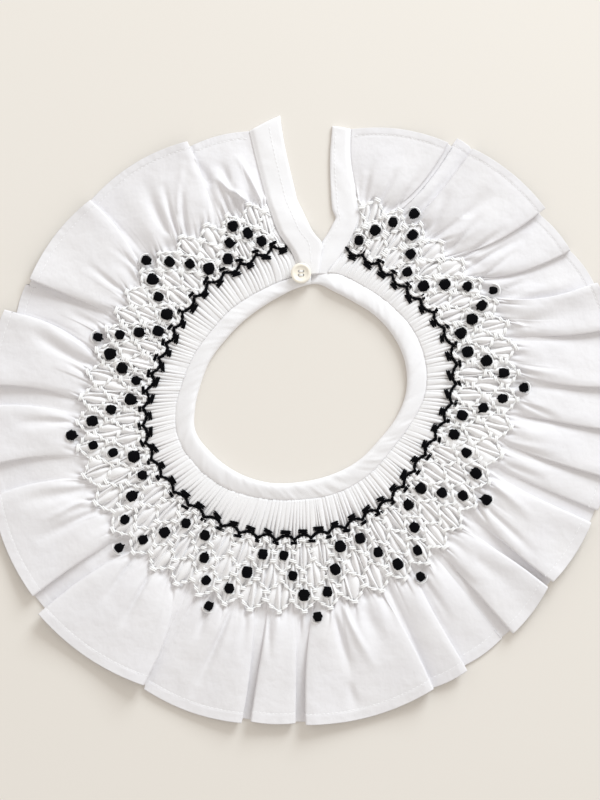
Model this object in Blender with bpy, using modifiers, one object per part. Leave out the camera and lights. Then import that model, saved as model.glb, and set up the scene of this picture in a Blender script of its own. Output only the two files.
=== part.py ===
"""A smocked ruffle collar of white cotton, fastened at the back and laid flat, right side up.

One long strip of cotton is gathered into fine pleats and held by rows of smocking, which leave
it as a yoke of small cells, and below the last row it opens into a ruffle of broad folds. A
bias neckband binds the pleats at the neck, a plain placket finishes each back edge, and the
left end laps over the right one under a four-hole button.

Places on the collar are given as a distance from the middle of the neck and a bearing, in
degrees clockwise from the back opening, which points to +Y. The table is the plane z = 0.
"""

import math

import bmesh
import bpy
import numpy as np
from mathutils import Vector
from mathutils.geometry import delaunay_2d_cdt

MM = 0.001

# Cloth
CLOTH_WALL = 1.3 * MM  # the cotton with its lofted weave and its double hem
SEAM_GAP = 0.3 * MM  # left between pieces that are sewn together

# Smocking
COLUMNS = 288  # a crest and a groove for each of 144 ribs, which stand for some 190 fine pleats
YOKE_FROM, YOKE_TO = 14.5, 354.5  # bearings of the first and the last pleat
WAVE = 2.4 * MM  # half the height of a trellis wave
ROW_PLACES = (0.11, 0.36, 0.605, 0.85)  # the four trellis rows, as shares of the worked depth
YOKE_LEVELS = (-1, 0, 1, 1.5, 2, 2.5, 3, 3.5, 4)  # the seam, the rows, and the swells between
GROOVE, CREST = 1.6 * MM, 2.7 * MM  # heights of the ribs where a row of stitches holds them
PUFF = 1.0 * MM  # how much higher a rib stands between two rows
CELL_PUFF = 0.6 * MM  # how much higher a cell stands than the waists beside it
YOKE_SPREAD, RUFFLE_SPREAD = 26, 14  # columns over which the pleats lean to meet a placket

# Ruffle
RUFFLE_ROWS = (0.16, 0.42, 0.72, 1.0)  # sections between the smocking and the hem
RECESS_LEAST = 0.8  # two folds with more bearing than this between them show a low strip
TUCK = 1.2 * MM  # how far a fold's side runs back under its edge
RECESS_DIP = 0.4  # how much shorter the low strip between two folds is, in millimetres
CREVICE = 0.15  # bearing between a fold's edge and the face it lies on
EDGE_DROP = 0.8 * MM  # how much a fold's edge rounds down
ROOT_RISE = 1.2 * MM  # how high the gathers stand just below the smocking
RIB_FADE = 0.42  # share of the ruffle over which the pleats die out
HEM_BOW = 0.025  # how far a fold's hem swings out between its edges, as a share of its width

# Neckband, plackets and button
BAND_HEIGHT, BAND_CROWN = 4.0 * MM, 0.15 * MM
LAP_LOW = 1.9 * MM  # thickness of the right end, where the left one lies on it
LAP_HIGH, LAP_TOP = 2.2 * MM, 4.3 * MM  # heights of the left end's two sides there
LAP_FROM, LAP_TO = -4.0, 365.5  # bearings of the band's lower and upper ends
BAND_SECTIONS = 84
BAND_SOFT = 0.28  # share of the band's thickness that its rounded edges take
LAP_RISE = (344, 355)  # bearings between which the left end rises over the right one
LAP_THIN = (8, 17)  # bearings between which the right end comes up to full thickness
PLACKET_WALL = 1.7 * MM
PLACKET_CROWN, PLACKET_EDGE = 0.25 * MM, 0.45 * MM  # its swell, and how its edges round down
PLACKET_SECTIONS = 26
PLACKETS_PART = (74.5 * MM, 84 * MM)  # distances between which the left one comes down
BUTTON_AT = (0.5 * MM, 58.1 * MM)
BUTTON_R, BUTTON_H = 5.0 * MM, 2.4 * MM
BUTTON_BASE = 4.8 * MM  # its underside, just above the lapped band
BUTTON_HOLE_R, BUTTON_HOLE_OUT = 0.65 * MM, 1.35 * MM

# The collar's rings in millimetres from the middle of the neck: the band's inner edge, the
# seam under it, the first row of smocking, and how deep the smocking runs below that row.
RINGS = (
    # bearing, neck, seam, first row, depth
    (0, 51.4, 56.6, 73.2, 27.4),
    (9, 53.6, 58.8, 73.8, 28.4),
    (18, 52.1, 60.3, 73.4, 29.4),
    (30, 51.4, 60.0, 72.8, 30.7),
    (45, 52.5, 61.1, 72.2, 30.9),
    (60, 53.3, 62.7, 75.5, 30.9),
    (75, 53.4, 62.9, 77.4, 32.5),
    (90, 51.9, 61.1, 75.0, 34.4),
    (105, 48.7, 56.4, 70.6, 36.1),
    (120, 45.5, 52.9, 67.6, 37.7),
    (140, 44.1, 52.4, 68.3, 39.2),
    (160, 43.3, 52.4, 69.0, 39.7),
    (180, 44.1, 52.4, 71.2, 39.7),
    (200, 47.1, 55.0, 73.8, 39.7),
    (220, 50.3, 59.6, 76.5, 39.4),
    (235, 52.6, 62.1, 78.5, 38.6),
    (250, 54.6, 63.4, 79.1, 37.1),
    (262, 51.8, 61.2, 77.0, 35.9),
    (275, 48.7, 57.3, 72.8, 34.1),
    (290, 46.5, 54.5, 68.9, 32.3),
    (305, 44.5, 52.4, 68.8, 30.9),
    (320, 44.3, 52.4, 69.1, 28.6),
    (335, 45.4, 52.7, 68.5, 26.0),
    (350, 48.3, 54.6, 71.5, 26.5),
)

# The back edges: at each distance in millimetres from the middle of the neck, the bearings of
# each placket's free edge and of its seam with the pleated cloth.
BACK_EDGES = (
    # distance, left free, left seam, right seam, right free
    (60.6, 9.1, -1.0, 12.8, 2.8),
    (67.0, 8.8, -2.5, 15.2, 4.7),
    (74.0, 8.3, -5.6, 17.2, 8.0),
    (78.0, 5.2, -7.2, 17.9, 9.6),
    (84.0, 2.5, -8.4, 18.3, 10.9),
    (89.0, 0.8, -9.0, 18.4, 11.4),
    (94.0, -0.7, -9.6, 17.6, 10.8),
    (100.0, -1.5, -9.9, 16.2, 8.7),
    (114.0, -3.0, -10.5, 12.6, 7.4),
    (131.5, -4.0, -10.9, 10.8, 6.9),
    (136.0, -4.1, -11.0, 10.6, 6.8),
)
# How far out each placket ends, at its free edge and at its seam, in millimetres.
LEFT_HEM, RIGHT_HEM = (136.0, 130.4), (131.5, 131.5)

# The bearings of some of the trellis cells' middles. The cells between them are evenly spaced.
CELLS = (
    # cell, bearing
    (-1, 14.1),
    (0, 21.1),
    (3, 41.6),
    (4, 49.1),
    (7, 69.6),
    (8, 76.3),
    (11, 97.9),
    (12, 105.1),
    (15, 128.4),
    (16, 136.0),
    (19, 157.7),
    (20, 165.4),
    (23, 185.6),
    (24, 192.9),
    (27, 213.7),
    (28, 221.2),
    (31, 242.3),
    (32, 248.8),
    (35, 267.3),
    (36, 273.8),
    (39, 293.2),
    (40, 300.3),
    (43, 323.7),
    (44, 331.6),
    (46, 345.8),
    (48, 360.2),
)

# The ruffle's folds, clockwise from the opening. Each is a face of cloth: its bearings at the
# hem, its reach there in millimetres, the height of its two edges and how far it sags between
# them, also in millimetres, and its bearings where it leaves the smocking.
FOLDS = (
    # from, to, reach from, reach to, lift from, lift to, sag, root from, root to
    (11.2, 30.8, 131.4, 142.1, 0.0, 3.5, 0.0, 14.5, 26.0),
    (31.8, 34.6, 146.5, 146.5, 0.0, 0.0, 0.0, 29.0, 31.0),
    (35.4, 53.2, 146.0, 150.0, 6.0, 5.0, 2.5, 33.4, 47.0),
    (53.8, 62.4, 146.5, 149.5, 1.0, 4.0, 0.0, 50.5, 56.5),
    (62.9, 69.4, 150.0, 153.8, 0.5, 0.5, 0.0, 58.0, 60.2),
    (69.8, 78.5, 155.0, 156.4, 5.5, 5.0, 1.5, 62.0, 72.5),
    (79.1, 89.1, 156.2, 156.6, 1.0, 5.0, 0.5, 75.5, 85.0),
    (89.5, 97.0, 156.4, 156.8, 1.0, 4.5, 0.5, 88.0, 94.0),
    (97.3, 105.6, 156.6, 157.2, 1.0, 4.5, 0.5, 97.0, 103.5),
    (106.0, 111.7, 156.8, 157.0, 1.0, 2.5, 0.0, 106.0, 110.0),
    (114.2, 126.9, 156.3, 154.8, 5.0, 6.0, 2.0, 114.5, 122.9),
    (128.2, 138.6, 154.4, 157.8, 6.0, 4.5, 2.0, 132.5, 138.5),
    (140.6, 148.6, 156.3, 156.8, 0.5, 0.5, 0.0, 141.0, 145.5),
    (149.0, 155.5, 159.0, 159.2, 5.0, 1.5, 0.0, 148.5, 155.0),
    (155.8, 179.0, 159.3, 162.9, 6.5, 6.0, 3.5, 158.6, 175.5),
    (180.8, 188.5, 162.2, 163.0, 4.5, 5.5, 1.0, 181.6, 187.0),
    (190.0, 207.7, 164.6, 164.6, 4.5, 1.5, 1.0, 192.6, 206.3),
    (208.1, 229.7, 162.5, 167.8, 7.0, 6.0, 3.5, 214.5, 226.0),
    (232.6, 251.3, 164.6, 159.3, 5.0, 5.0, 2.5, 231.5, 246.0),
    (256.7, 267.5, 157.3, 154.4, 4.5, 4.5, 1.5, 252.5, 262.5),
    (271.3, 285.6, 153.2, 150.0, 5.0, 6.0, 2.0, 268.0, 278.7),
    (286.2, 291.5, 144.5, 144.5, 0.0, 0.0, 0.0, 282.0, 289.0),
    (292.6, 312.4, 143.3, 139.2, 6.0, 5.5, 2.5, 293.5, 305.5),
    (312.9, 335.8, 139.2, 134.5, 1.0, 5.0, 0.5, 310.0, 331.0),
    (336.2, 348.8, 132.0, 130.4, 1.0, 0.0, 0.0, 336.0, 354.5),
)


def smooth_through(places, values, period=None):
    """A function that passes smoothly through a table's values, round and round if it closes."""
    places, values = np.asarray(places, float), np.asarray(values, float)
    if period:
        places = np.concatenate([places - period, places, places + period])
        values = np.tile(values, 3)
    slopes = np.gradient(values, places)

    def read(at):
        at = np.clip(np.asarray(at, float), places[0], places[-1])
        i = np.clip(np.searchsorted(places, at, side="right") - 1, 0, len(places) - 2)
        step = places[i + 1] - places[i]
        t = (at - places[i]) / step
        return (
            (2 * t**3 - 3 * t**2 + 1) * values[i]
            + (t**3 - 2 * t**2 + t) * step * slopes[i]
            + (3 * t**2 - 2 * t**3) * values[i + 1]
            + (t**3 - t**2) * step * slopes[i + 1]
        )

    return read


def ring(column):
    """One ring of the collar, as its distance in metres for any bearing."""
    rows = np.array(RINGS)
    return smooth_through(rows[:, 0], rows[:, column] * MM, period=360)


def back_edge(column):
    """One back edge, as its bearing for any distance in metres."""
    rows = np.array(BACK_EDGES)
    return smooth_through(rows[:, 0] * MM, rows[:, column])


neck_ring, seam_ring, first_row, smocked_depth = (ring(k) for k in range(1, 5))
left_free, left_seam, right_seam, right_free = (back_edge(k) for k in range(1, 5))


def spot(bearing, distance, height):
    """Points of the collar from bearings, distances and heights."""
    angle = np.radians(bearing)
    return np.stack(
        [distance * np.sin(angle), distance * np.cos(angle), distance * 0 + height], axis=-1
    )


def degrees_along(length, distance):
    """The bearing that a short length spans at a distance."""
    return np.degrees(length / distance)


def pinned(bearing, distance, spread):
    """A row's bearings, drawn over in its first and last columns so that it meets the plackets."""
    starts = np.clip(1 - np.arange(COLUMNS) / spread, 0, 1) ** 2
    ends = starts[::-1]
    gap = degrees_along(SEAM_GAP, distance)
    begin = (right_seam(distance) + gap)[0]
    finish = (360 + left_seam(distance) - gap)[-1]
    return bearing + (begin - bearing[0]) * starts + (finish - bearing[-1]) * ends


def wave(bearing):
    """The trellis wave: -1 at the middle of a cell and +1 at the waists beside it."""
    cells = np.array(CELLS)
    phase = np.interp(bearing, cells[:, 1], cells[:, 0])
    return 4 * np.abs(phase - np.round(phase)) - 1


def stitch_line(bearing, row):
    """The distance of a trellis row, or of the first black row above it, at each bearing."""
    if row == 0:
        return first_row(bearing) + WAVE * wave(bearing)
    side = 1 if row in (1, 3) else -1
    middle = first_row(bearing) + ROW_PLACES[row - 1] * smocked_depth(bearing)
    return middle + WAVE * side * wave(bearing)


def yoke_distance(bearing, level):
    """The distance of a yoke row: the seam, a stitched row, or the swell halfway to the next."""
    if level < 0:
        return seam_ring(bearing) + SEAM_GAP
    row = int(level)
    if row == level:
        return stitch_line(bearing, row)
    return (stitch_line(bearing, row) + stitch_line(bearing, row + 1)) / 2


def yoke_rows():
    """The smocked yoke's upper surface, a row of points for each line of stitches or swell."""
    base = np.linspace(YOKE_FROM, YOKE_TO, COLUMNS)
    crest = np.arange(COLUMNS) % 2 == 0
    rows = []
    for level in YOKE_LEVELS:
        bearing = base
        for _ in range(5):  # each end's place depends on its distance, and that on its place
            bearing = pinned(base, yoke_distance(bearing, level), YOKE_SPREAD)
        distance = yoke_distance(bearing, level)
        height = np.where(crest, CREST, GROOVE)
        if level != int(level):
            side = 1 if int(level) == 2 else -1
            height = height + PUFF * crest + CELL_PUFF * (1 + side * wave(bearing)) / 2
        rows.append(spot(bearing, distance, height))
    return rows


def column_at(bearing):
    """The column of cloth that leaves the smocking at a bearing."""
    return round((bearing - YOKE_FROM) / (YOKE_TO - YOKE_FROM) * (COLUMNS - 1))


def fold_sides(fold, after):
    """The low points of the cloth between one fold and the next, as bearings and lifts."""
    end, begin, lift_end, lift_begin = fold[1], after[0], fold[5], after[4]
    under = degrees_along(TUCK, fold[3] * MM)
    if begin - end > RECESS_LEAST:
        end_under = under if lift_end > TUCK / MM else 0.0
        begin_under = under if lift_begin > TUCK / MM else 0.0
        return [(end - end_under, 0.0), (begin + begin_under, 0.0)]
    if lift_end > lift_begin:
        return [(end - under, lift_begin)]
    return [(begin + under, lift_end)]


def hem_section():
    """Where each column of cloth meets the hem: its bearing, distance and lift."""
    bearing, reach, lift = (np.zeros(COLUMNS) for _ in range(3))
    for fold in FOLDS:
        begin, end, reach_from, reach_to, lift_from, lift_to, sag, root_from, root_to = fold
        first, last = column_at(root_from), column_at(root_to)
        share = np.linspace(0, 1, last - first + 1)
        bearing[first : last + 1] = begin + (end - begin) * share
        bow = HEM_BOW * math.radians(end - begin) * reach_to * np.sin(math.pi * share)
        reach[first : last + 1] = reach_from + (reach_to - reach_from) * share + bow
        lift[first : last + 1] = (
            lift_from + (lift_to - lift_from) * share - sag * np.sin(math.pi * share)
        )
        lift[first] = max(0.0, lift[first] - EDGE_DROP / MM)
        lift[last] = max(0.0, lift[last] - EDGE_DROP / MM)
    for fold, after in zip(FOLDS, FOLDS[1:]):
        last, first = column_at(fold[-1]), column_at(after[-2])
        low = fold_sides(fold, after)
        count = first - last - 1
        share = np.linspace(0, 1, count) if count > 1 else np.zeros(1)
        if len(low) == 2:
            (b0, z0), (b1, z1), dip = *low, RECESS_DIP
        elif fold[5] > after[4]:
            (b0, z0), (b1, z1), dip = low[0], (after[0] - CREVICE, after[4]), 0.0
        else:
            (b0, z0), (b1, z1), dip = (fold[1] + CREVICE, fold[5]), low[0], 0.0
            share = share if count > 1 else np.ones(1)
        bearing[last + 1 : first] = b0 + (b1 - b0) * share
        lift[last + 1 : first] = z0 + (z1 - z0) * share
        reach[last + 1 : first] = min(fold[3], after[2]) - dip
    return bearing, reach * MM, lift * MM


def ruffle_rows(root):
    """The ruffle's upper surface below the smocking's last row, and the same points set in."""
    root_distance = np.hypot(root[:, 0], root[:, 1])
    root_bearing = np.degrees(np.unwrap(np.arctan2(root[:, 0], root[:, 1])))
    root_bearing += 360 * (root_bearing[0] < 0)
    hem_bearing, hem_distance, hem_lift = hem_section()
    crest = np.where(np.arange(COLUMNS) % 2 == 0, 0.5, -0.5) * (CREST - GROOVE)
    outer, inner = [], []
    for share in RUFFLE_ROWS:
        turn = 1 - (1 - share) ** 3
        distance = root_distance + (hem_distance - root_distance) * share
        bearing = root_bearing + (hem_bearing - root_bearing) * turn
        bearing = pinned(bearing, distance, RUFFLE_SPREAD)
        height = CLOTH_WALL + hem_lift * share**0.6 + ROOT_RISE * (1 - share) ** 2
        ribs = crest * max(0.0, 1 - share / RIB_FADE)
        outer.append(spot(bearing, distance, height + ribs))
        inner.append(set_in(spot(bearing, distance, height), bearing))
    return outer, inner


def set_in(row, bearing):
    """The inner side of a row of cloth: each point moved in by the wall, and never below z = 0."""
    ahead = np.diff(row, axis=0)
    ahead /= np.linalg.norm(ahead, axis=1)[:, None]
    along = np.vstack([ahead[:1], ahead[:-1] + ahead[1:], ahead[-1:]])
    outward = spot(bearing, np.ones(COLUMNS), 0.0)
    normal = np.cross(along, outward)
    normal /= np.linalg.norm(normal, axis=1)[:, None]
    inner = row - CLOTH_WALL * normal
    inner[:, 2] = np.maximum(inner[:, 2], 0.0)
    return inner


def flat_under(row):
    """A row's points let down onto the table."""
    under = row.copy()
    under[:, 2] = 0.0
    return under


def closed_strip(name, upper, lower, over_flat=1):
    """A solid between an upper and a lower sheet of rows. The first over_flat rows of the lower
    sheet lie on the table, joined by flat patches."""
    mesh = bmesh.new()
    top = [[mesh.verts.new(point) for point in row] for row in upper]
    bottom = []
    for k, row in enumerate(lower):
        ends_only = 0 < k < over_flat - 1
        bottom.append([mesh.verts.new(point) for point in (row[[0, -1]] if ends_only else row)])
    for sheet, begin, flip in ((top, 0, False), (bottom, over_flat - 1, True)):
        for near, far in zip(sheet[begin:], sheet[begin + 1 :]):
            for i in range(len(near) - 1):
                corners = (near[i], far[i], far[i + 1], near[i + 1])
                mesh.faces.new(corners[::-1] if flip else corners)
    if over_flat > 1:
        finish_side = [row[-1] for row in bottom[1 : over_flat - 1]]
        begin_side = [row[0] for row in bottom[over_flat - 2 : 0 : -1]]
        fill_flat(mesh, bottom[0] + finish_side + bottom[over_flat - 1][::-1] + begin_side)
    for i in range(len(top[0]) - 1):
        mesh.faces.new((bottom[0][i], top[0][i], top[0][i + 1], bottom[0][i + 1]))
        mesh.faces.new((bottom[-1][i], bottom[-1][i + 1], top[-1][i + 1], top[-1][i]))
    for side in (0, -1):
        for k in range(len(top) - 1):
            rim = (top[k][side], bottom[k][side], bottom[k + 1][side], top[k + 1][side])
            mesh.faces.new(rim[::-1] if side else rim)
    bmesh.ops.triangulate(mesh, faces=mesh.faces[:])
    bmesh.ops.recalc_face_normals(mesh, faces=mesh.faces[:])
    return finished(name, mesh)


def fill_flat(mesh, rim):
    """Fills a closed rim of points that lie on the table with one flat sheet of triangles."""
    places = [corner.co.xy / MM for corner in rim]
    _, _, triangles, first_of, _, _ = delaunay_2d_cdt(places, [], [range(len(rim))], 1, 1e-4)
    for triangle in triangles:
        mesh.faces.new([rim[first_of[corner][0]] for corner in triangle])


def finished(name, mesh):
    """The mesh as an object of the collar's collection."""
    data = bpy.data.meshes.new(name)
    mesh.to_mesh(data)
    mesh.free()
    piece = bpy.data.objects.new(name, data)
    bpy.data.collections["smocked_collar"].objects.link(piece)
    return piece


def collar_panel():
    """The pleated strip: a yoke raised over a plain flat underside, then the ruffle's wall."""
    yoke = yoke_rows()
    outer, inner = ruffle_rows(yoke[-1])
    lower = [flat_under(row) for row in yoke] + inner
    return closed_strip("collar_panel", yoke + outer, lower, over_flat=len(yoke))


def neckband():
    """The bias band round the neck, its left end raised over its right end."""
    bearing = np.linspace(LAP_FROM, LAP_TO, BAND_SECTIONS)
    neck, seam = neck_ring(bearing), seam_ring(bearing)
    over = smooth_step(*LAP_RISE, bearing)
    under = 1 - smooth_step(*LAP_THIN, bearing)
    base = LAP_HIGH * over
    top = BAND_HEIGHT + (LAP_TOP - BAND_HEIGHT) * over - (BAND_HEIGHT - LAP_LOW) * under
    soft = (top - base) * BAND_SOFT
    profile = (
        (neck + soft, base),
        (neck, base + soft),
        (neck, top - soft * 1.3),
        (neck + soft * 1.3, top),
        ((neck + seam) / 2, top + BAND_CROWN),
        (seam - soft * 1.2, top),
        (seam, top - soft),
        (seam, base + soft * 0.6),
        (seam - soft * 0.6, base),
    )
    lines = [spot(bearing, distance, height) for distance, height in profile]
    mesh = bmesh.new()
    loops = [[mesh.verts.new(line[i]) for line in lines] for i in range(BAND_SECTIONS)]
    for near, far in zip(loops, loops[1:]):
        for i in range(len(near)):
            j = (i + 1) % len(near)
            mesh.faces.new((near[i], near[j], far[j], far[i]))
    mesh.faces.new(loops[0][::-1])
    mesh.faces.new(loops[-1])
    bmesh.ops.recalc_face_normals(mesh, faces=mesh.faces[:])
    return finished("neckband", mesh)


def smooth_step(low, high, value):
    """0 below low, 1 above high, and a soft rise between them."""
    t = np.clip((value - low) / (high - low), 0, 1)
    return t * t * (3 - 2 * t)


def placket(name, free, seam, inward, hems, base):
    """A plain folded strip along a back edge, from the neckband down to the hem."""
    across = np.linspace(0, 1, 5)[:, None]  # from the free edge to the seam
    ends = hems[0] + (hems[1] - hems[0]) * across
    along = np.linspace(0, 1, PLACKET_SECTIONS)
    stations = (BACK_EDGES[0][0] + (ends - BACK_EDGES[0][0]) * along) * MM
    clear = degrees_along(SEAM_GAP / 2, stations) * inward
    bearing = free(stations) + (seam(stations) + clear - free(stations)) * across
    under = base(stations)
    crown = PLACKET_CROWN * np.sin(math.pi * across)
    soft = np.where((across == 0) | (across == 1), PLACKET_EDGE, 0.0)
    over = under + PLACKET_WALL + crown - soft
    return closed_strip(name, list(spot(bearing, stations, over)), list(spot(bearing, stations, under)))


def button():
    """A turned button with a raised rim, a dished middle and four sewing holes."""
    outline = (
        (0.0, 0.62),
        (0.42, 0.62),
        (0.62, 0.78),
        (0.74, 0.98),
        (0.86, 1.0),
        (0.97, 0.86),
        (1.0, 0.6),
        (0.94, 0.3),
        (0.7, 0.06),
        (0.5, 0.0),
        (0.0, 0.0),
    )
    points = [(BUTTON_R * r, 0.0, BUTTON_H * h) for r, h in outline]
    data = bpy.data.meshes.new("button")
    data.from_pydata(points, [(i, i + 1) for i in range(len(points) - 1)], [])
    piece = bpy.data.objects.new("button", data)
    piece.location = (*BUTTON_AT, BUTTON_BASE)
    bpy.data.collections["smocked_collar"].objects.link(piece)
    turned = piece.modifiers.new("Turned", "SCREW")
    turned.steps = turned.render_steps = 32
    turned.use_merge_vertices = True
    turned.merge_threshold = 0.01 * MM
    for k in range(4):
        angle = math.radians(45 + 90 * k)
        cutter = sewing_hole(
            f"button_hole_{k + 1}",
            BUTTON_AT[0] + BUTTON_HOLE_OUT * math.cos(angle),
            BUTTON_AT[1] + BUTTON_HOLE_OUT * math.sin(angle),
        )
        bored = piece.modifiers.new(f"Hole {k + 1}", "BOOLEAN")
        bored.operation = "DIFFERENCE"
        bored.object = cutter
    return piece


def sewing_hole(name, x, y):
    """A cutter for one of the button's holes."""
    mesh = bmesh.new()
    bmesh.ops.create_cone(
        mesh,
        cap_ends=True,
        segments=10,
        radius1=BUTTON_HOLE_R,
        radius2=BUTTON_HOLE_R,
        depth=BUTTON_H * 3,
    )
    data = bpy.data.meshes.new(name)
    mesh.to_mesh(data)
    mesh.free()
    cutter = bpy.data.objects.new(name, data)
    cutter.location = (x, y, BUTTON_BASE + BUTTON_H / 2)
    cutter.hide_render = True
    cutter.display_type = "WIRE"
    bpy.data.collections["cutters"].objects.link(cutter)
    return cutter


def finish_of(name, colour, roughness):
    """A material with a plain colour and roughness."""
    material = bpy.data.materials.new(name)
    material.use_nodes = True
    shader = material.node_tree.nodes["Principled BSDF"]
    shader.inputs["Base Color"].default_value = (*colour, 1.0)
    shader.inputs["Roughness"].default_value = roughness
    shader.inputs["Metallic"].default_value = 0.0
    return material


def clear_scene():
    """Empties the scene and adds the collections for the parts and the cutters."""
    for old in list(bpy.data.objects):
        bpy.data.objects.remove(old, do_unlink=True)
    for name in ("smocked_collar", "cutters"):
        bpy.context.scene.collection.children.link(bpy.data.collections.new(name))


def centred(pieces):
    """Moves everything so that the middle of the collar's box on the table is the origin."""
    bpy.context.view_layer.update()
    corners = [p.matrix_world @ Vector(corner) for p in pieces for corner in p.bound_box]
    low = Vector(min(c[i] for c in corners) for i in range(3))
    high = Vector(max(c[i] for c in corners) for i in range(3))
    shift = -(low + high) / 2
    shift.z = -low.z
    for thing in bpy.data.objects:
        thing.location += shift
    return (high - low) / MM


def over_lap(distance):
    """The height of the left placket's underside, which lies on the right one near the neck."""
    return LAP_HIGH * (1 - smooth_step(*PLACKETS_PART, distance))


def on_table(distance):
    """The height of the right placket's underside."""
    return np.zeros_like(distance)


def main():
    clear_scene()
    pieces = [
        collar_panel(),
        neckband(),
        placket("left_placket", left_free, left_seam, 1, LEFT_HEM, over_lap),
        placket("right_placket", right_free, right_seam, -1, RIGHT_HEM, on_table),
        button(),
    ]
    cotton = finish_of("white_cotton", (0.86, 0.86, 0.87), 0.85)
    for piece in pieces:
        piece.data.materials.append(cotton)
    pieces[-1].data.materials[0] = finish_of("ivory_button", (0.86, 0.79, 0.66), 0.35)
    for piece in pieces:
        piece.data.shade_smooth()
        piece.data.set_sharp_from_angle(angle=math.radians(40))
    size = centred(pieces)
    print("collar", " x ".join(f"{side:.1f}" for side in size), "mm")


main()
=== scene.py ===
# %% [markdown]
# # A smocked ruffle collar, laid flat
#
# The collar is one strip of white cotton, gathered into some 190 fine pleats. Rows of smocking
# hold the pleats as a yoke, and below the last row they open into a ruffle of broad folds. A
# bias neckband, two plackets and a button finish it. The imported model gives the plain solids.
# This script dresses them: it makes the pleats, the folds, the embroidery and the sewing as
# meshes, and gives each of them a finish made from shader nodes.

import math

import bmesh
import bpy
import numpy as np
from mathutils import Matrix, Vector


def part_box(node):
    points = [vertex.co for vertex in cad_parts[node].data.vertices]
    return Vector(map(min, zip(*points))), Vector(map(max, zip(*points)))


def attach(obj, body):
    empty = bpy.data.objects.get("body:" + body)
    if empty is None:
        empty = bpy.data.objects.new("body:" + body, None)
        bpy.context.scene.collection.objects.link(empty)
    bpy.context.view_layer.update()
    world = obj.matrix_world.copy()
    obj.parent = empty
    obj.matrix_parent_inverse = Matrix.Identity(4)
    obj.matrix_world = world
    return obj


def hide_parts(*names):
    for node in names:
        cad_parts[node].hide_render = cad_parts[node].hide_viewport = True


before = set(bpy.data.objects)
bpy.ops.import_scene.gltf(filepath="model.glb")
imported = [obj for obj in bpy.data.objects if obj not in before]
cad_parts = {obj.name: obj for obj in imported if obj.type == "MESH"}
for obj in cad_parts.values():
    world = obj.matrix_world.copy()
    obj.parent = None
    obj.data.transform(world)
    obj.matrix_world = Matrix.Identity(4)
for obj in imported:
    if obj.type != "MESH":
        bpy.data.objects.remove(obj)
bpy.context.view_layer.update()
MM = 0.001
print("nodes", sorted(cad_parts))

# %% [markdown]
# The collar is worked in a circle, so every place on it is a bearing and a distance from the
# middle of the neck. The bearing is in degrees clockwise from the back opening. The button is
# the one piece whose place is known in both ways, so it tells where the middle of the neck is.

# %% Places on the collar
BUTTON_AT = np.array([0.5, 58.1]) * MM  # its middle, right of the neck's middle and above it
button_low, button_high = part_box("button")
button_x, button_y = (button_low.x + button_high.x) / 2, (button_low.y + button_high.y) / 2
NECK_MIDDLE = np.array([button_x, button_y]) - BUTTON_AT


def points_at(bearing, distance, height):
    """Points of the collar from bearings, distances and heights."""
    angle = np.radians(bearing)
    east = NECK_MIDDLE[0] + distance * np.sin(angle)
    north = NECK_MIDDLE[1] + distance * np.cos(angle)
    return np.stack([east, north, height + 0 * east], axis=-1)


def degrees_along(length, distance):
    """The bearing that a short length spans at a distance."""
    return np.degrees(length / distance)


def points_beside(bearing, distance, aside, out, height):
    """Points a little clockwise of a place on the collar and a little further out."""
    return points_at(bearing + degrees_along(aside, distance), distance + out, height)


def distance_of(points):
    """How far points lie from the middle of the neck."""
    return np.hypot(points[..., 0] - NECK_MIDDLE[0], points[..., 1] - NECK_MIDDLE[1])


print("middle of the neck", np.round(NECK_MIDDLE / MM, 2), "mm")

# %% [markdown]
# The photograph looks straight down. A long lens keeps the collar's depth from showing as
# leaning edges, so the camera stands well above the table and sees the table's 294 by 392 mm.

# %% Camera
PHOTO_HIGH = 392 * MM  # how much of the table the picture's height takes in
CAMERA_AT = NECK_MIDDLE - (0, 3.92 * MM)  # the picture's middle is a little below the neck's
CAMERA_HEIGHT = 1.3
CLOTH_LEVEL = 3 * MM  # the level at which the picture's scale holds
SENSOR = 24  # the camera's own millimetres

camera_data = bpy.data.cameras.new("camera")
camera_data.sensor_fit = "VERTICAL"
camera_data.sensor_height = SENSOR
camera_data.lens = SENSOR * (CAMERA_HEIGHT - CLOTH_LEVEL) / PHOTO_HIGH
camera = bpy.data.objects.new("camera", camera_data)
camera.location = (*CAMERA_AT, CAMERA_HEIGHT)
bpy.context.scene.collection.objects.link(camera)
bpy.context.scene.camera = camera
print("lens", round(camera_data.lens, 1), "mm")

# %% [markdown]
# ## The cut of the collar
#
# These tables are the maker's pattern: the rings round the neck, the back edges, and the folds
# of the ruffle. The solids were made from the same rows, so the cloth made here lies on them.

# %% Rings, back edges and folds
YOKE_FROM, YOKE_TO = 14.5, 354.5  # bearings of the first and the last pleat
COARSE = 287  # steps between the solids' own columns, in which the plackets' pull is given
SEAM_GAP = 0.3 * MM
WAVE, BLACK_WAVE = 2.4 * MM, 1.15 * MM  # half the height of a white and of the black row's waves
ROW_PLACES = (0.11, 0.36, 0.605, 0.85)  # trellis rows, as shares of the worked depth

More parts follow.
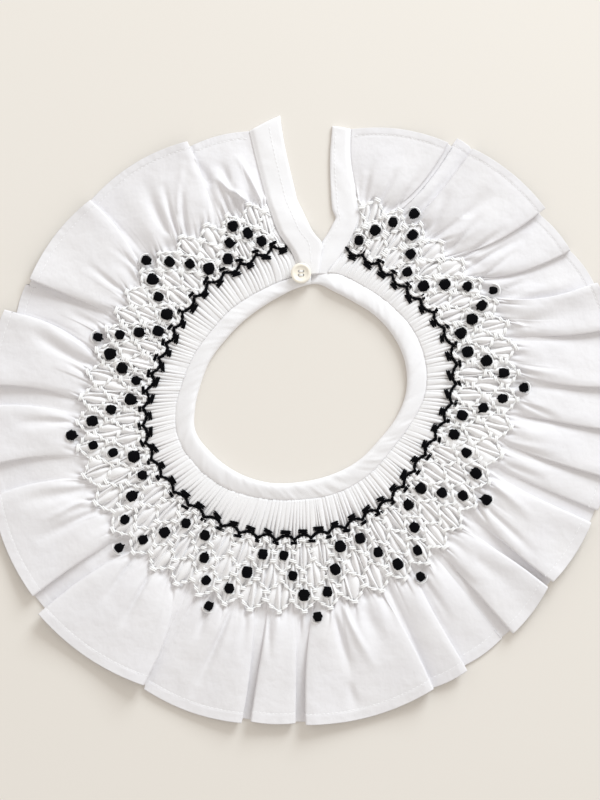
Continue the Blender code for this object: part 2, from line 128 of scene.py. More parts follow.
RINGS = (
    # bearing, neck, seam, first row, depth
    (0, 51.4, 56.6, 73.2, 27.4),
    (9, 53.6, 58.8, 73.8, 28.4),
    (18, 52.1, 60.3, 73.4, 29.4),
    (30, 51.4, 60.0, 72.8, 30.7),
    (45, 52.5, 61.1, 72.2, 30.9),
    (60, 53.3, 62.7, 75.5, 30.9),
    (75, 53.4, 62.9, 77.4, 32.5),
    (90, 51.9, 61.1, 75.0, 34.4),
    (105, 48.7, 56.4, 70.6, 36.1),
    (120, 45.5, 52.9, 67.6, 37.7),
    (140, 44.1, 52.4, 68.3, 39.2),
    (160, 43.3, 52.4, 69.0, 39.7),
    (180, 44.1, 52.4, 71.2, 39.7),
    (200, 47.1, 55.0, 73.8, 39.7),
    (220, 50.3, 59.6, 76.5, 39.4),
    (235, 52.6, 62.1, 78.5, 38.6),
    (250, 54.6, 63.4, 79.1, 37.1),
    (262, 51.8, 61.2, 77.0, 35.9),
    (275, 48.7, 57.3, 72.8, 34.1),
    (290, 46.5, 54.5, 68.9, 32.3),
    (305, 44.5, 52.4, 68.8, 30.9),
    (320, 44.3, 52.4, 69.1, 28.6),
    (335, 45.4, 52.7, 68.5, 26.0),
    (350, 48.3, 54.6, 71.5, 26.5),
)

CELLS = (
    # trellis cell, bearing of its middle; the cells between two of these are evenly spaced
    (-1, 14.1), (0, 21.1), (3, 41.6), (4, 49.1), (7, 69.6), (8, 76.3), (11, 97.9),
    (12, 105.1), (15, 128.4), (16, 136.0), (19, 157.7), (20, 165.4), (23, 185.6), (24, 192.9),
    (27, 213.7), (28, 221.2), (31, 242.3), (32, 248.8), (35, 267.3), (36, 273.8), (39, 293.2),
    (40, 300.3), (43, 323.7), (44, 331.6), (46, 345.8), (48, 360.2),
)

POINTS_OF_V = (
    # cell at the tip of each V of spots, how many degrees its tip leans clockwise
    (1.5, 1.25),
    (5.5, 2.95),
    (9.5, 1.8),
    (13.5, 3.25),
    (17.5, 0.0),
    (21.5, 0.0),
    (25.5, -0.2),
    (29.5, -2.45),
    (33.5, 1.25),
    (37.5, 1.7),
    (41.5, -1.4),
    (45.0, -1.3),
)

BACK_EDGES = (
    # distance, left free, left seam, right seam, right free
    (60.6, 9.1, -1.0, 12.8, 2.8),
    (67.0, 8.8, -2.5, 15.2, 4.7),
    (74.0, 8.3, -5.6, 17.2, 8.0),
    (78.0, 5.2, -7.2, 17.9, 9.6),
    (84.0, 2.5, -8.4, 18.3, 11.0),
    (87.5, 1.3, -8.8, 18.4, 11.5),
    (90.5, 0.3, -9.2, 18.2, 10.2),
    (94.0, -0.7, -9.6, 17.6, 9.5),
    (100.0, -1.5, -9.9, 16.2, 8.7),
    (114.0, -3.0, -10.5, 12.6, 7.4),
    (131.5, -4.0, -10.9, 10.8, 6.9),
    (136.0, -4.1, -11.0, 10.6, 6.8),
)
LEFT_HEM, RIGHT_HEM = (136.0, 130.4), (131.5, 131.5)  # plackets' ends: free edge, seam

FOLDS = (
    # from, to, reach from, reach to, lift from, lift to, sag, root from, root to
    (11.2, 30.8, 131.4, 142.1, 0.0, 3.5, 0.0, 14.5, 26.0),
    (31.8, 34.6, 146.5, 146.5, 0.0, 0.0, 0.0, 29.0, 31.0),
    (35.4, 53.2, 146.0, 150.0, 6.0, 5.0, 2.5, 33.4, 47.0),
    (53.8, 62.4, 146.5, 149.5, 1.0, 4.0, 0.0, 50.5, 56.5),
    (62.9, 69.4, 150.0, 153.8, 0.5, 0.5, 0.0, 58.0, 60.2),
    (69.8, 78.5, 155.0, 156.4, 5.5, 5.0, 1.5, 62.0, 72.5),
    (79.1, 89.1, 156.2, 156.6, 1.0, 5.0, 0.5, 75.5, 85.0),
    (89.5, 97.0, 156.4, 156.8, 1.0, 4.5, 0.5, 88.0, 94.0),
    (97.3, 105.6, 156.6, 157.2, 1.0, 4.5, 0.5, 97.0, 103.5),
    (106.0, 111.7, 156.8, 157.0, 1.0, 2.5, 0.0, 106.0, 110.0),
    (114.2, 126.9, 156.3, 154.8, 5.0, 6.0, 2.0, 114.5, 122.9),
    (128.2, 138.6, 154.4, 157.8, 6.0, 4.5, 2.0, 132.5, 138.5),
    (140.6, 148.6, 156.3, 156.8, 0.5, 0.5, 0.0, 141.0, 145.5),
    (149.0, 155.5, 159.0, 159.2, 5.0, 1.5, 0.0, 148.5, 155.0),
    (155.8, 179.0, 159.3, 162.9, 6.5, 6.0, 3.5, 158.6, 175.5),
    (180.8, 188.5, 162.2, 163.0, 4.5, 5.5, 1.0, 181.6, 187.0),
    (190.0, 207.7, 164.6, 164.6, 4.5, 1.5, 1.0, 192.6, 206.3),
    (208.1, 229.7, 162.5, 167.8, 7.0, 6.0, 3.5, 214.5, 226.0),
    (232.6, 251.3, 164.6, 159.3, 5.0, 5.0, 2.5, 231.5, 246.0),
    (256.7, 267.5, 157.3, 154.4, 4.5, 4.5, 1.5, 252.5, 262.5),
    (271.3, 285.6, 153.2, 150.0, 5.0, 6.0, 2.0, 268.0, 278.7),
    (286.2, 291.5, 144.5, 144.5, 0.0, 0.0, 0.0, 282.0, 289.0),
    (292.6, 312.4, 143.3, 139.2, 6.0, 5.5, 2.5, 293.5, 305.5),
    (312.9, 335.8, 139.2, 134.5, 1.0, 5.0, 0.5, 310.0, 331.0),
    (336.2, 348.8, 132.0, 130.4, 1.0, 0.0, 0.0, 336.0, 354.5),
)
print(len(FOLDS), "folds")

# %% [markdown]
# A ring is only measured at some bearings, so a smooth curve is drawn through its values. Each
# stretch between two values is a cubic whose ends share their neighbours' slope.

# %% Smooth curves through the pattern


def smooth_through(places, values, period=None):
    """A function that passes smoothly through a table's values, round and round if it closes."""
    places, values = np.asarray(places, float), np.asarray(values, float)
    if period:
        places = np.concatenate([places - period, places, places + period])
        values = np.tile(values, 3)
    slopes = np.gradient(values, places)

    def read(at):
        at = np.clip(np.asarray(at, float), places[0], places[-1])
        i = np.clip(np.searchsorted(places, at, side="right") - 1, 0, len(places) - 2)
        step = places[i + 1] - places[i]
        t = (at - places[i]) / step
        return (
            (2 * t**3 - 3 * t**2 + 1) * values[i]
            + (t**3 - 2 * t**2 + t) * step * slopes[i]
            + (3 * t**2 - 2 * t**3) * values[i + 1]
            + (t**3 - t**2) * step * slopes[i + 1]
        )

    return read


def ring(column):
    """One ring of the collar, as its distance in metres for any bearing."""
    rows = np.array(RINGS)
    return smooth_through(rows[:, 0], rows[:, column] * MM, period=360)


def back_edge(column):
    """One back edge, as its bearing for any distance in metres."""
    rows = np.array(BACK_EDGES)
    return smooth_through(rows[:, 0] * MM, rows[:, column])


def eased(share):
    """A share from 0 to 1 that starts and ends softly."""
    return share * share * (3 - 2 * share)


def smooth_step(low, high, value):
    """0 below low, 1 above high, and a soft rise between them."""
    return eased(np.clip((value - low) / (high - low), 0, 1))


def fading(at, reach, power=1):
    """1 at nought, dying out to 0 at its reach."""
    return np.clip(1 - at / reach, 0, 1) ** power


neck_ring, seam_ring, first_row, smocked_depth = (ring(k) for k in range(1, 5))
left_free, left_seam, right_seam, right_free = (back_edge(k) for k in range(1, 5))
whole_turn = np.arange(361.0)
neck_edge = points_at(whole_turn, neck_ring(whole_turn), 0)
neck_length = np.linalg.norm(np.diff(neck_edge, axis=0), axis=-1).sum()
print("neck edge", round(neck_length / MM), "mm round")

# %% [markdown]
# Hand work is never quite even. `uneven` gives a soft drift along any measure, always the same
# for the same seed, and the pleats, folds and stitches all borrow it.

# %% Unevenness of hand work
KNOTS, FIELD_KNOTS = 4096, 512  # how many units a drift runs before it repeats
DRIFT_FROM, FIELD_FROM = 500, 64  # where on it a measure of 0 lies


def spread_out(first, second):
    """Two measures as arrays of floats with one shape."""
    return np.broadcast_arrays(np.asarray(first, float), np.asarray(second, float))


def uneven(at, seed):
    """A soft random drift between -1 and 1 that changes about once for each unit of at."""
    knots = np.random.default_rng(seed).uniform(-1, 1, KNOTS)
    at = np.asarray(at, float) + DRIFT_FROM
    low = np.floor(at).astype(int)
    share = eased(at - low)
    return knots[low % KNOTS] * (1 - share) + knots[(low + 1) % KNOTS] * share


def uneven_field(across, along, seed):
    """The same drift over a surface."""
    rows = np.random.default_rng(seed).uniform(-1, 1, (FIELD_KNOTS, FIELD_KNOTS))
    across, along = (measure + FIELD_FROM for measure in spread_out(across, along))
    i, j = np.floor(across).astype(int), np.floor(along).astype(int)
    s, t = eased(across - i), eased(along - j)
    i, j, after_i, after_j = (k % FIELD_KNOTS for k in (i, j, i + 1, j + 1))
    near = rows[i, j] * (1 - s) + rows[after_i, j] * s
    far = rows[i, after_j] * (1 - s) + rows[after_i, after_j] * s
    return near * (1 - t) + far * t


print("a drift from", round(float(uneven(0.0, 1)), 2), "to", round(float(uneven(1.0, 1)), 2))

# %% [markdown]
# ## Making meshes from rows of points
#
# Cloth and thread are both rows of points, so two makers are enough. `slab` closes an upper and
# a lower sheet of rows into one piece of cloth. `strands` sweeps a round section along many
# paths at once, which is how each thread and each stitch is made.

# %% Mesh makers


def quads_between(rows, columns, first=0):
    """The faces of a sheet of points, counted from its first point."""
    corner = first + np.arange(rows - 1)[:, None] * columns + np.arange(columns - 1)
    quads = np.stack([corner, corner + columns, corner + columns + 1, corner + 1], -1)
    return quads.reshape(-1, 4)


def mesh_piece(name, points, face_groups, finish):
    """An object from points and from groups of faces that have the same number of corners."""
    data = bpy.data.meshes.new(name)
    corners = np.concatenate([group.reshape(-1) for group in face_groups]).astype(np.int32)
    totals = np.concatenate([np.full(len(group), group.shape[1]) for group in face_groups])
    data.vertices.add(len(points))
    data.vertices.foreach_set("co", np.asarray(points, np.float32).reshape(-1))
    data.loops.add(len(corners))
    data.loops.foreach_set("vertex_index", corners)
    data.polygons.add(len(totals))
    starts = np.concatenate([[0], np.cumsum(totals)[:-1]]).astype(np.int32)
    data.polygons.foreach_set("loop_start", starts)
    data.update(calc_edges=True)
    data.validate()
    mesh = bmesh.new()
    mesh.from_mesh(data)
    bmesh.ops.recalc_face_normals(mesh, faces=mesh.faces[:])
    mesh.to_mesh(data)
    mesh.free()
    data.shade_smooth()
    data.materials.append(finish)
    piece = bpy.data.objects.new(name, data)
    bpy.context.scene.collection.objects.link(piece)
    print(name, int((totals - 2).sum()), "triangles")
    return piece


def slab(upper, lower):
    """Points and faces of a closed piece of cloth between two sheets with as many columns."""
    up_rows, columns = upper.shape[:2]
    low_rows = lower.shape[0]
    begin = up_rows * columns
    points = np.concatenate([upper.reshape(-1, 3), lower.reshape(-1, 3)])
    top, bottom = quads_between(up_rows, columns), quads_between(low_rows, columns, begin)
    column = np.arange(columns - 1)
    last_up, last_low = (up_rows - 1) * columns, begin + (low_rows - 1) * columns
    near = np.stack([column, column + 1, begin + column + 1, begin + column], -1)
    far = np.stack(
        [last_up + column, last_low + column, last_low + column + 1, last_up + column + 1], -1
    )
    rims = []
    for side in (0, columns - 1):
        up = np.arange(up_rows) * columns + side
        low = begin + np.arange(low_rows) * columns + side
        if up_rows == low_rows:
            rim = np.stack([up[:-1], up[1:], low[1:], low[:-1]], -1)
        else:
            rim = np.concatenate([up, low[::-1]])[None, :]
        rims.append(rim if side else rim[:, ::-1])
    return points, [top, bottom[:, ::-1], near[:, ::-1], far[:, ::-1], *rims]


def tubes(sections):
    """Points and faces of closed tubes, given as (tube, section, point round it, 3)."""
    count, length, sides = sections.shape[:3]
    tube, step = np.arange(count) * length * sides, np.arange(length - 1) * sides
    here, there = np.arange(sides), (np.arange(sides) + 1) % sides
    base = tube[:, None, None] + step[None, :, None]
    quads = np.stack([base + here, base + there, base + sides + there, base + sides + here], -1)
    starts = tube[:, None] + here[::-1]
    ends = starts[:, ::-1] + (length - 1) * sides
    return sections.reshape(-1, 3), [quads.reshape(-1, 4), starts, ends]


def unit(vectors):
    """Vectors made one long."""
    return vectors / (np.linalg.norm(vectors, axis=-1, keepdims=True) + 1e-12)


def sides_of(paths):
    """Two directions across each path: one level with the table, and one that rises."""
    ahead = unit(np.gradient(paths, axis=-2))
    across = unit(np.cross(ahead, [0.0, 0.0, 1.0]))
    return across, np.cross(across, ahead)


def strands(paths, radii, sides=6):
    """Points and faces of round strands along paths, given as (strand, point, 3)."""
    paths = np.asarray(paths, float)
    across, rising = sides_of(paths)
    turn = (np.arange(sides) / sides * 2 * math.pi)[:, None]
    section = across[:, :, None] * np.cos(turn) + rising[:, :, None] * np.sin(turn)
    radii = np.broadcast_to(radii, paths.shape[:2])[:, :, None, None]
    return tubes(paths[:, :, None] + section * radii)


def joined(parts):
    """Several sets of points and faces as one."""
    points, groups, first = [], [], 0
    for some_points, some_groups in parts:
        points.append(some_points)
        groups += [group + first for group in some_groups]
        first += len(some_points)
    return np.concatenate(points), groups


def rounded_ends(length, share=0.18, least=0.25):
    """How thick a strand is along its length, tapering softly into its two ends."""
    along = np.linspace(0, 1, length)
    from_end = np.minimum(along, 1 - along)
    return least + (1 - least) * np.sqrt(1 - fading(from_end, share, 2))


print("mesh makers ready")

# %% [markdown]
# ## Finishes
#
# Three effects serve more than one finish, so each is a node group that is built once: the
# plain weave of cotton, the fine hairs of spun thread, and a soft cloudiness that keeps large
# plain surfaces from looking printed. The weave follows the collar round: one set of its
# threads runs out from the neck and the other runs round it, as in the real gathered strip.

# %% Node helpers


def shader_group(name, numbers, outputs):
    """A node group that takes a position and some numbers, and its two end nodes."""
    group = bpy.data.node_groups.new(name, "ShaderNodeTree")
    group.interface.new_socket("Position", in_out="INPUT", socket_type="NodeSocketVector")
    for label, value in numbers.items():
        made = group.interface.new_socket(label, in_out="INPUT", socket_type="NodeSocketFloat")
        made.default_value = value
    for label in outputs:
        group.interface.new_socket(label, in_out="OUTPUT", socket_type="NodeSocketFloat")
    return group, group.nodes.new("NodeGroupInput"), group.nodes.new("NodeGroupOutput")


def feed(tree, node, inputs):
    """Give a node its inputs, as values or as sockets to link."""
    for label, value in inputs.items():
        if isinstance(value, bpy.types.NodeSocket):
            tree.links.new(value, node.inputs[label])
        else:
            node.inputs[label].default_value = value
    return node


def add_node(tree, kind, inputs, **settings):
    """A node with its settings and its inputs."""
    node = tree.nodes.new(kind)
    for label, value in settings.items():
        setattr(node, label, value)
    return feed(tree, node, inputs)


def maths(tree, operation, *values):
    """The result of a Math node."""
    inputs = dict(enumerate(values))
    return add_node(tree, "ShaderNodeMath", inputs, operation=operation).outputs[0]


def noise(tree, position, scale, **others):
    """The strength of a noise texture, whose other inputs go by their own names."""
    inputs = {"Vector": position, "Scale": scale, **others}
    return add_node(tree, "ShaderNodeTexNoise", inputs).outputs["Fac"]


def place_group(tree, group, inputs):
    """A node group placed in a material."""
    return add_node(tree, "ShaderNodeGroup", inputs, node_tree=group)


# %% Weave, spun hairs and cloudiness


def weave_group():
    """Over and under threads as a height and as painted shade where they dip, on a grid that
    follows the collar round.
    """
    group, given, out = shader_group(
        "plain_weave", {"Round Count": 2600.0, "Threads per Metre": 3400.0}, ("Height", "Tint")
    )
    position = given.outputs["Position"]
    apart = add_node(group, "ShaderNodeSeparateXYZ", {"Vector": position})
    x = maths(group, "SUBTRACT", apart.outputs["X"], float(NECK_MIDDLE[0]))
    y = maths(group, "SUBTRACT", apart.outputs["Y"], float(NECK_MIDDLE[1]))
    squares = [maths(group, "MULTIPLY", side, side) for side in (x, y)]
    out_from_neck = maths(group, "SQRT", maths(group, "ADD", *squares))
    warp = maths(group, "MULTIPLY", maths(group, "ARCTAN2", x, y), given.outputs["Round Count"])
    warp = maths(group, "MULTIPLY", warp, 0.5)
    weft = maths(group, "MULTIPLY", given.outputs["Threads per Metre"], math.pi)
    weft = maths(group, "MULTIPLY", out_from_neck, weft)
    over = maths(group, "MULTIPLY", maths(group, "SINE", warp), maths(group, "SINE", weft))
    slub = maths(group, "MULTIPLY", noise(group, position, 420.0, Detail=2.0), 0.8)
    # painted shade: the cloth's colour is a little darker where its threads dip under
    gap_shade = maths(group, "MULTIPLY_ADD", over, 0.5, 0.5)
    feed(group, out, {"Height": maths(group, "ADD", over, slub), "Tint": gap_shade})
    return group


def spun_group():
    """The fine hairs and the uneven dye of spun thread."""
    group, given, out = shader_group("spun_hairs", {"Scale": 2600.0}, ("Height", "Tint"))
    position, scale = given.outputs["Position"], given.outputs["Scale"]
    hairs = noise(group, position, scale, Detail=3.0, Roughness=0.65, Distortion=1.2)
    # for spun thread this output carries only the thread's uneven dye, with no painted shade
    feed(group, out, {"Height": hairs, "Tint": noise(group, position, 300.0)})
    return group


def cloud_group():
    """A soft cloudiness between 0 and 1."""
    group, given, out = shader_group("soft_cloud", {"Scale": 30.0}, ("Mask",))
    position, scale = given.outputs["Position"], given.outputs["Scale"]
    feed(group, out, {"Mask": noise(group, position, scale, Detail=3.0, Roughness=0.5)})
    return group


PLAIN_WEAVE, SPUN_HAIRS, SOFT_CLOUD = weave_group(), spun_group(), cloud_group()
print("node groups", [group.name for group in (PLAIN_WEAVE, SPUN_HAIRS, SOFT_CLOUD)])

# %% [markdown]
# White cotton is bright and dull, with a faint sheen from its nap where it turns away. It
# isn't one flat white: the cloud mixes a cooler and a warmer white, and painted shade darkens
# the weave a little in the gaps where its threads dip under. In the ruffle it is a single layer
# that lets some of the light through, so it is less bright there, and it is softly crumpled.
# Neckband and plackets are several layers of the same cotton pressed hard, so they are brighter
# and their weave is lower.

# %% Materials


def new_material(name):
    """A material, its node tree, its shader and its object coordinates."""
    material = bpy.data.materials.new(name)
    material.use_nodes = True
    tree = material.node_tree
    shader = tree.nodes["Principled BSDF"]
    position = tree.nodes.new("ShaderNodeTexCoord").outputs["Object"]
    return material, tree, shader, position


def blended(tree, share, first, second):
    """A colour between two others."""
    node = add_node(tree, "ShaderNodeMix", {"Factor": share}, data_type="RGBA")
    for label, colour in (("A", first), ("B", second)):
        place = next(s for s in node.inputs if s.name == label and s.type == "RGBA")
        place.default_value = (*colour, 1.0)
    return next(s for s in node.outputs if s.type == "RGBA")


def clouded(tree, position, scale):
    """The mask of the soft cloud at a scale."""
    return place_group(tree, SOFT_CLOUD, {"Position": position, "Scale": scale}).outputs["Mask"]


def bumped(tree, height, distance, strength):
    """The normals of a surface whose bumps stand as high as the distance."""
    inputs = {"Height": height, "Distance": distance, "Strength": strength}
    return add_node(tree, "ShaderNodeBump", inputs).outputs["Normal"]


def cotton(name, cool, warm, weave_height, crumple):
    """White cotton cloth; its weave and the crumples of its surface stand so high, in metres."""
    material, tree, shader, position = new_material(name)
    cloud, crumpled = clouded(tree, position, 38.0), clouded(tree, position, 95.0)
    weave = place_group(tree, PLAIN_WEAVE, {"Position": position}).outputs
    # painted shade: the white is darkened a little where the weave's threads dip under
    painted_gap_shade = maths(tree, "MULTIPLY_ADD", weave["Tint"], 0.05, 0.95)
    white = {0: blended(tree, cloud, cool, warm), "Scale": painted_gap_shade}
    white_with_gap_shade = add_node(tree, "ShaderNodeVectorMath", white, operation="SCALE")
    surface = maths(tree, "MULTIPLY_ADD", crumpled, crumple / weave_height, weave["Height"])
    feed(
        tree,
        shader,
        {
            "Base Color": white_with_gap_shade.outputs[0],
            "Roughness": maths(tree, "MULTIPLY_ADD", cloud, 0.1, 0.8),
            "Sheen Weight": 0.12,
            "Sheen Roughness": 0.5,
            "Specular IOR Level": 0.25,
            "Normal": bumped(tree, surface, weave_height, 0.6),
        },
    )
    return material


def thread(name, dark, light, roughness, hair_height, shine):
    """Spun embroidery or sewing thread."""
    material, tree, shader, position = new_material(name)
    spun = place_group(tree, SPUN_HAIRS, {"Position": position}).outputs
    feed(
        tree,
        shader,
        {
            "Base Color": blended(tree, spun["Tint"], dark, light),
            "Roughness": maths(tree, "MULTIPLY_ADD", spun["Height"], 0.2, roughness - 0.1),
            "Specular IOR Level": shine,
            "Normal": bumped(tree, spun["Height"], hair_height, 0.5),
        },
    )
    return material


WHITE_COTTON = cotton(
    "white_cotton", (0.87, 0.865, 0.88), (0.89, 0.88, 0.88), 0.05 * MM, 0.1 * MM
)
THIN_COTTON = cotton(
    "thin_cotton", (0.805, 0.795, 0.82), (0.825, 0.81, 0.815), 0.05 * MM, 1.5 * MM
)
PRESSED_COTTON = cotton(
    "pressed_cotton", (0.86, 0.855, 0.875), (0.88, 0.87, 0.875), 0.03 * MM, 0.45 * MM
)
WHITE_THREAD = thread(
    "white_thread", (0.9, 0.9, 0.905), (0.94, 0.94, 0.935), 0.7, 0.06 * MM, 0.15
)
BLACK_THREAD = thread(
    "black_thread", (0.002, 0.002, 0.003), (0.005, 0.005, 0.006), 0.9, 0.05 * MM, 0.05
)
print("materials", [m.name for m in bpy.data.materials])

# %% [markdown]
# ## The rows of smocking
#
# Every stitched row is a wave. The black row arches towards the neck once in every cell. The
# white rows zigzag, two by two in opposite steps, so that each pair closes a row of diamonds.
# The pleats between two rows lean away from a diamond's middle and crowd at its corners. All
# the later steps read these curves, so they are written once, for any bearing and level. Level
# -1 is the seam under the neckband, 0 the black row, and 1 to 4 are the white rows.

# %% Curves of the rows


def cell_turn(bearing):
    """How many cells lie between the first cell's middle and a bearing."""
    cells = np.array(CELLS)
    return np.interp(bearing, cells[:, 1], cells[:, 0])


def cell_bearing(turn):
    """The bearing of a cell's middle, or of any place between two cells."""
    cells = np.array(CELLS)
    return np.interp(turn, cells[:, 0], cells[:, 1])


def lean_at(bearing, place):
    """How far the pleats lean clockwise at a bearing and a share of the worked depth."""
    points = np.array(POINTS_OF_V)
    lean = smooth_through(cell_bearing(points[:, 0]), points[:, 1])(bearing)
    return lean * np.clip(place, 0, 1) ** 1.5


def wave(bearing, power=1.0):
    """A row's wave: -1 at the middle of a cell and +1 at its corners, rounder above power 1."""
    phase = cell_turn(bearing)
    return 2 * (2 * np.abs(phase - np.round(phase))) ** power - 1


def row_side(row):
    """1 where a row's cell middles lie towards the neck, and -1 where its corners do."""
    return 1 if row in (0, 1, 3) else -1


def row_place(row):
    """A row's share of the worked depth."""
    return ROW_PLACES[row - 1] if row else 0.0


def stitch_line(bearing, row):
    """The distance of a stitched row at each bearing."""
    middle = first_row(bearing) + row_place(row) * smocked_depth(bearing)
    if row == 0:
        return middle + BLACK_WAVE * wave(bearing, 2.0)
    return middle + WAVE * row_side(row) * wave(bearing - lean_at(bearing, row_place(row)), 1.15)


def yoke_distance(bearing, level):
    """The distance of any level of the yoke, from the seam at -1 to the last row at 4."""
    bearing, level = spread_out(bearing, level)
    lines = [seam_ring(bearing) + SEAM_GAP] + [stitch_line(bearing, row) for row in range(5)]
    low = np.clip(np.floor(level).astype(int), -1, 3)
    share = level - low
    return np.choose(low + 1, lines[:-1]) * (1 - share) + np.choose(low + 1, lines[1:]) * share


def row_ends(level):
    """The bearings at which a level of the yoke meets the right and the left placket."""
    level = np.asarray(level, float)
    begin, finish = YOKE_FROM + 0 * level, YOKE_TO + 0 * level
    for _ in range(6):
        near = yoke_distance(begin, level)
        far = yoke_distance(finish, level)
        begin = right_seam(near) + degrees_along(SEAM_GAP, near)
        finish = 360 + left_seam(far) - degrees_along(SEAM_GAP, far)
    return begin, finish


def drawn_over(cloth, spread):
    """How much a column of cloth is drawn over to meet the right and the left placket."""
    along = (cloth - YOKE_FROM) / (YOKE_TO - YOKE_FROM) * COARSE
    return fading(along, spread, 2), fading(COARSE - along, spread, 2)


YOKE_SPREAD = 26  # columns over which the pleats lean to meet a placket
OPENING = 0.12  # how far the pleats lean from the middle of a diamond, in degrees
PLEATS_A_CELL = 4
PLEAT_WIDTH = 1.76  # in degrees
PAIRING = 0.14  # how far a pleat leans to the one it is stitched to, as a share of its width


def pleat_turn(cloth):
    """How many pleats lie before a place on the cloth; their widths aren't quite even."""
    cells = cell_turn(cloth)
    return cells * PLEATS_A_CELL + 0.42 * uneven(cells * 2.7, 11)


def yoke_bearing(cloth, level):
    """Where the cloth that left the gathering at a bearing lies at a level of the yoke."""
    cloth, level = spread_out(cloth, level)
    starts, ends = drawn_over(cloth, YOKE_SPREAD)
    begin, finish = row_ends(level)
    bearing = cloth + (begin - YOKE_FROM) * starts + (finish - YOKE_TO) * ends
    row = np.floor(level)
    swell = np.sin(np.pi * (level - row)) ** 2
    lean = np.where((row == 1) | (row == 3), 1.0, np.where(row == 2, -1.0, 0.0))
    free = np.clip(1 - 3 * starts, 0, 1) * np.clip(1 - 3 * ends, 0, 1)
    opened = OPENING * lean * swell * np.sin(2 * np.pi * cell_turn(bearing))
    worked = np.clip(level + 0.4, 0, 1)
    paired = -PAIRING * PLEAT_WIDTH * worked * np.sin(np.pi * (pleat_turn(cloth) + level))
    wobble = 0.16 * worked * uneven_field(pleat_turn(cloth) * 0.9, level * 1.7, 12)
    wobble = wobble + 0.5 * np.clip(-level, 0, 1) ** 0.8 * uneven(pleat_turn(cloth) * 0.62, 13)
    place = np.interp(level, range(5), (0.0, *ROW_PLACES))
    return bearing + free * (opened + paired + wobble + lean_at(cloth, place))


print("the black row lies", np.round(stitch_line(np.array([180.0]), 0)[0] / MM, 1), "mm out")

# %% [markdown]
# ## The pleats
#
# Each pleat is the edge of a small fold, round on top with a groove beside it. There are four
# to a cell. A row of stitches holds them two by two, and the next row holds the other pairs, so
# each groove is narrow at one row and wide at the next. Between two rows the pleats swell, most
# of all inside the diamonds. Under the neckband they are flat, and they deepen to the black row.

# %% Height of the pleated cloth
CREST = 2.7 * MM  # height of a pleat where a row of stitches holds it
PUFF = 1.0 * MM  # how much higher it stands between two rows
CELL_PUFF = 0.1 * MM  # and how much more in the middle of a diamond
HELD_GROOVE, PARTED_GROOVE = 1.1 * MM, 2.6 * MM


def pleat_ridge(cloth, sharpness=2.0):
    """1 on top of a pleat and 0 in the groove beside it; the groove is narrower when sharper."""
    turn = pleat_turn(cloth)
    return 1 - (2 * np.abs(turn - np.floor(turn) - 0.5)) ** sharpness


def diamond(bearing, level):
    """1 in the middle of a diamond between two white rows, and 0 at its corners."""
    row = np.floor(level)
    side = np.where(row == 2, 1.0, -1.0)
    inside = np.where((row >= 1) & (row <= 3), 1.0, 0.0)
    return inside * (1 + side * wave(bearing)) / 2 * np.sin(np.pi * (level - row))


def yoke_height(cloth, level):
    """The height of the pleated cloth at any column and level."""
    cloth, level = spread_out(cloth, level)
    bearing = yoke_bearing(cloth, level)
    swell = np.sin(np.pi * (level - np.floor(level)))  # 1 halfway between two rows
    turn = pleat_turn(cloth)
    number, groove_number = np.floor(turn), np.round(turn)
    worked = smooth_step(-0.3, 0.05, level)  # 0 in the gathers, 1 in the smocking
    from_band = np.clip(level + 1, 0, 1)

    # each pleat has a height of its own, and rises between two rows
    own = (0.2 + 0.28 * worked * swell) * uneven(number * 1.7, 21)
    own = (own + (0.1 + 0.2 * worked) * uneven_field(number * 2.3, level * 2.1, 22)) * MM
    crest = CREST + PUFF * swell * (0.5 + 0.5 * worked) + CELL_PUFF * diamond(bearing, level)

    # every other groove is held shut by a row, and they deepen from the band outwards
    held = (1 + np.cos(np.pi * (groove_number + level))) / 2
    narrow = PARTED_GROOVE + (HELD_GROOVE - PARTED_GROOVE) * held
    shallow = (0.2 + 2.3 * from_band**2.1) * MM
    groove = shallow + (narrow - shallow) * worked
    groove = groove * (1 + (0.8 - 0.35 * worked) * uneven(groove_number * 1.3 + 0.5, 23))

    # the cloth comes down towards the plackets, and a little where it goes under the band
    to_end = np.minimum(turn - pleat_turn(YOKE_FROM), pleat_turn(YOKE_TO) - turn)
    tail = 1 - 0.62 * (1 - smooth_step(0, 2.2, to_end)) * from_band
    under_band = 0.12 * MM * (1 - smooth_step(-1, -0.75, level))
    sharpness = 4.2 - 2.1 * smooth_step(-0.9, 0.5, level)
    height = (crest + own - groove * (1 - pleat_ridge(cloth, sharpness))) * tail - under_band
    return np.maximum(height, 0.25 * MM)


print("a crest at the black row stands", round(float(CREST / MM), 1), "mm high")

# %% [markdown]
# The pleated part is made as two pieces, with the black row hiding where they meet: the plain
# gathers under the neckband, and the smocked yoke below them. Twelve points cross each pleat.
# Both are closed, with a flat underside where they lie on the table.

# %% Gathers and smocked yoke
POINTS_A_PLEAT = 12
cell_ends = cell_turn(np.array([YOKE_FROM, YOKE_TO]))
PLEATS = round(float(cell_ends[1] - cell_ends[0]) * PLEATS_A_CELL)
cloth_columns = cell_bearing(np.linspace(*cell_ends, PLEATS * POINTS_A_PLEAT + 1))


def drawn_out(name, upper, every=1):
    """A sheet's depth and length with its pleats and folds drawn out straight."""
    length = np.linalg.norm(np.diff(upper, axis=1), axis=-1).sum(axis=1).mean()
    depth = np.linalg.norm(np.diff(upper[:, ::every], axis=0), axis=-1).sum(axis=0).mean()
    print(name, "drawn out", round(length / MM), "by", round(depth / MM, 1), "mm")
    return float(depth), float(length)


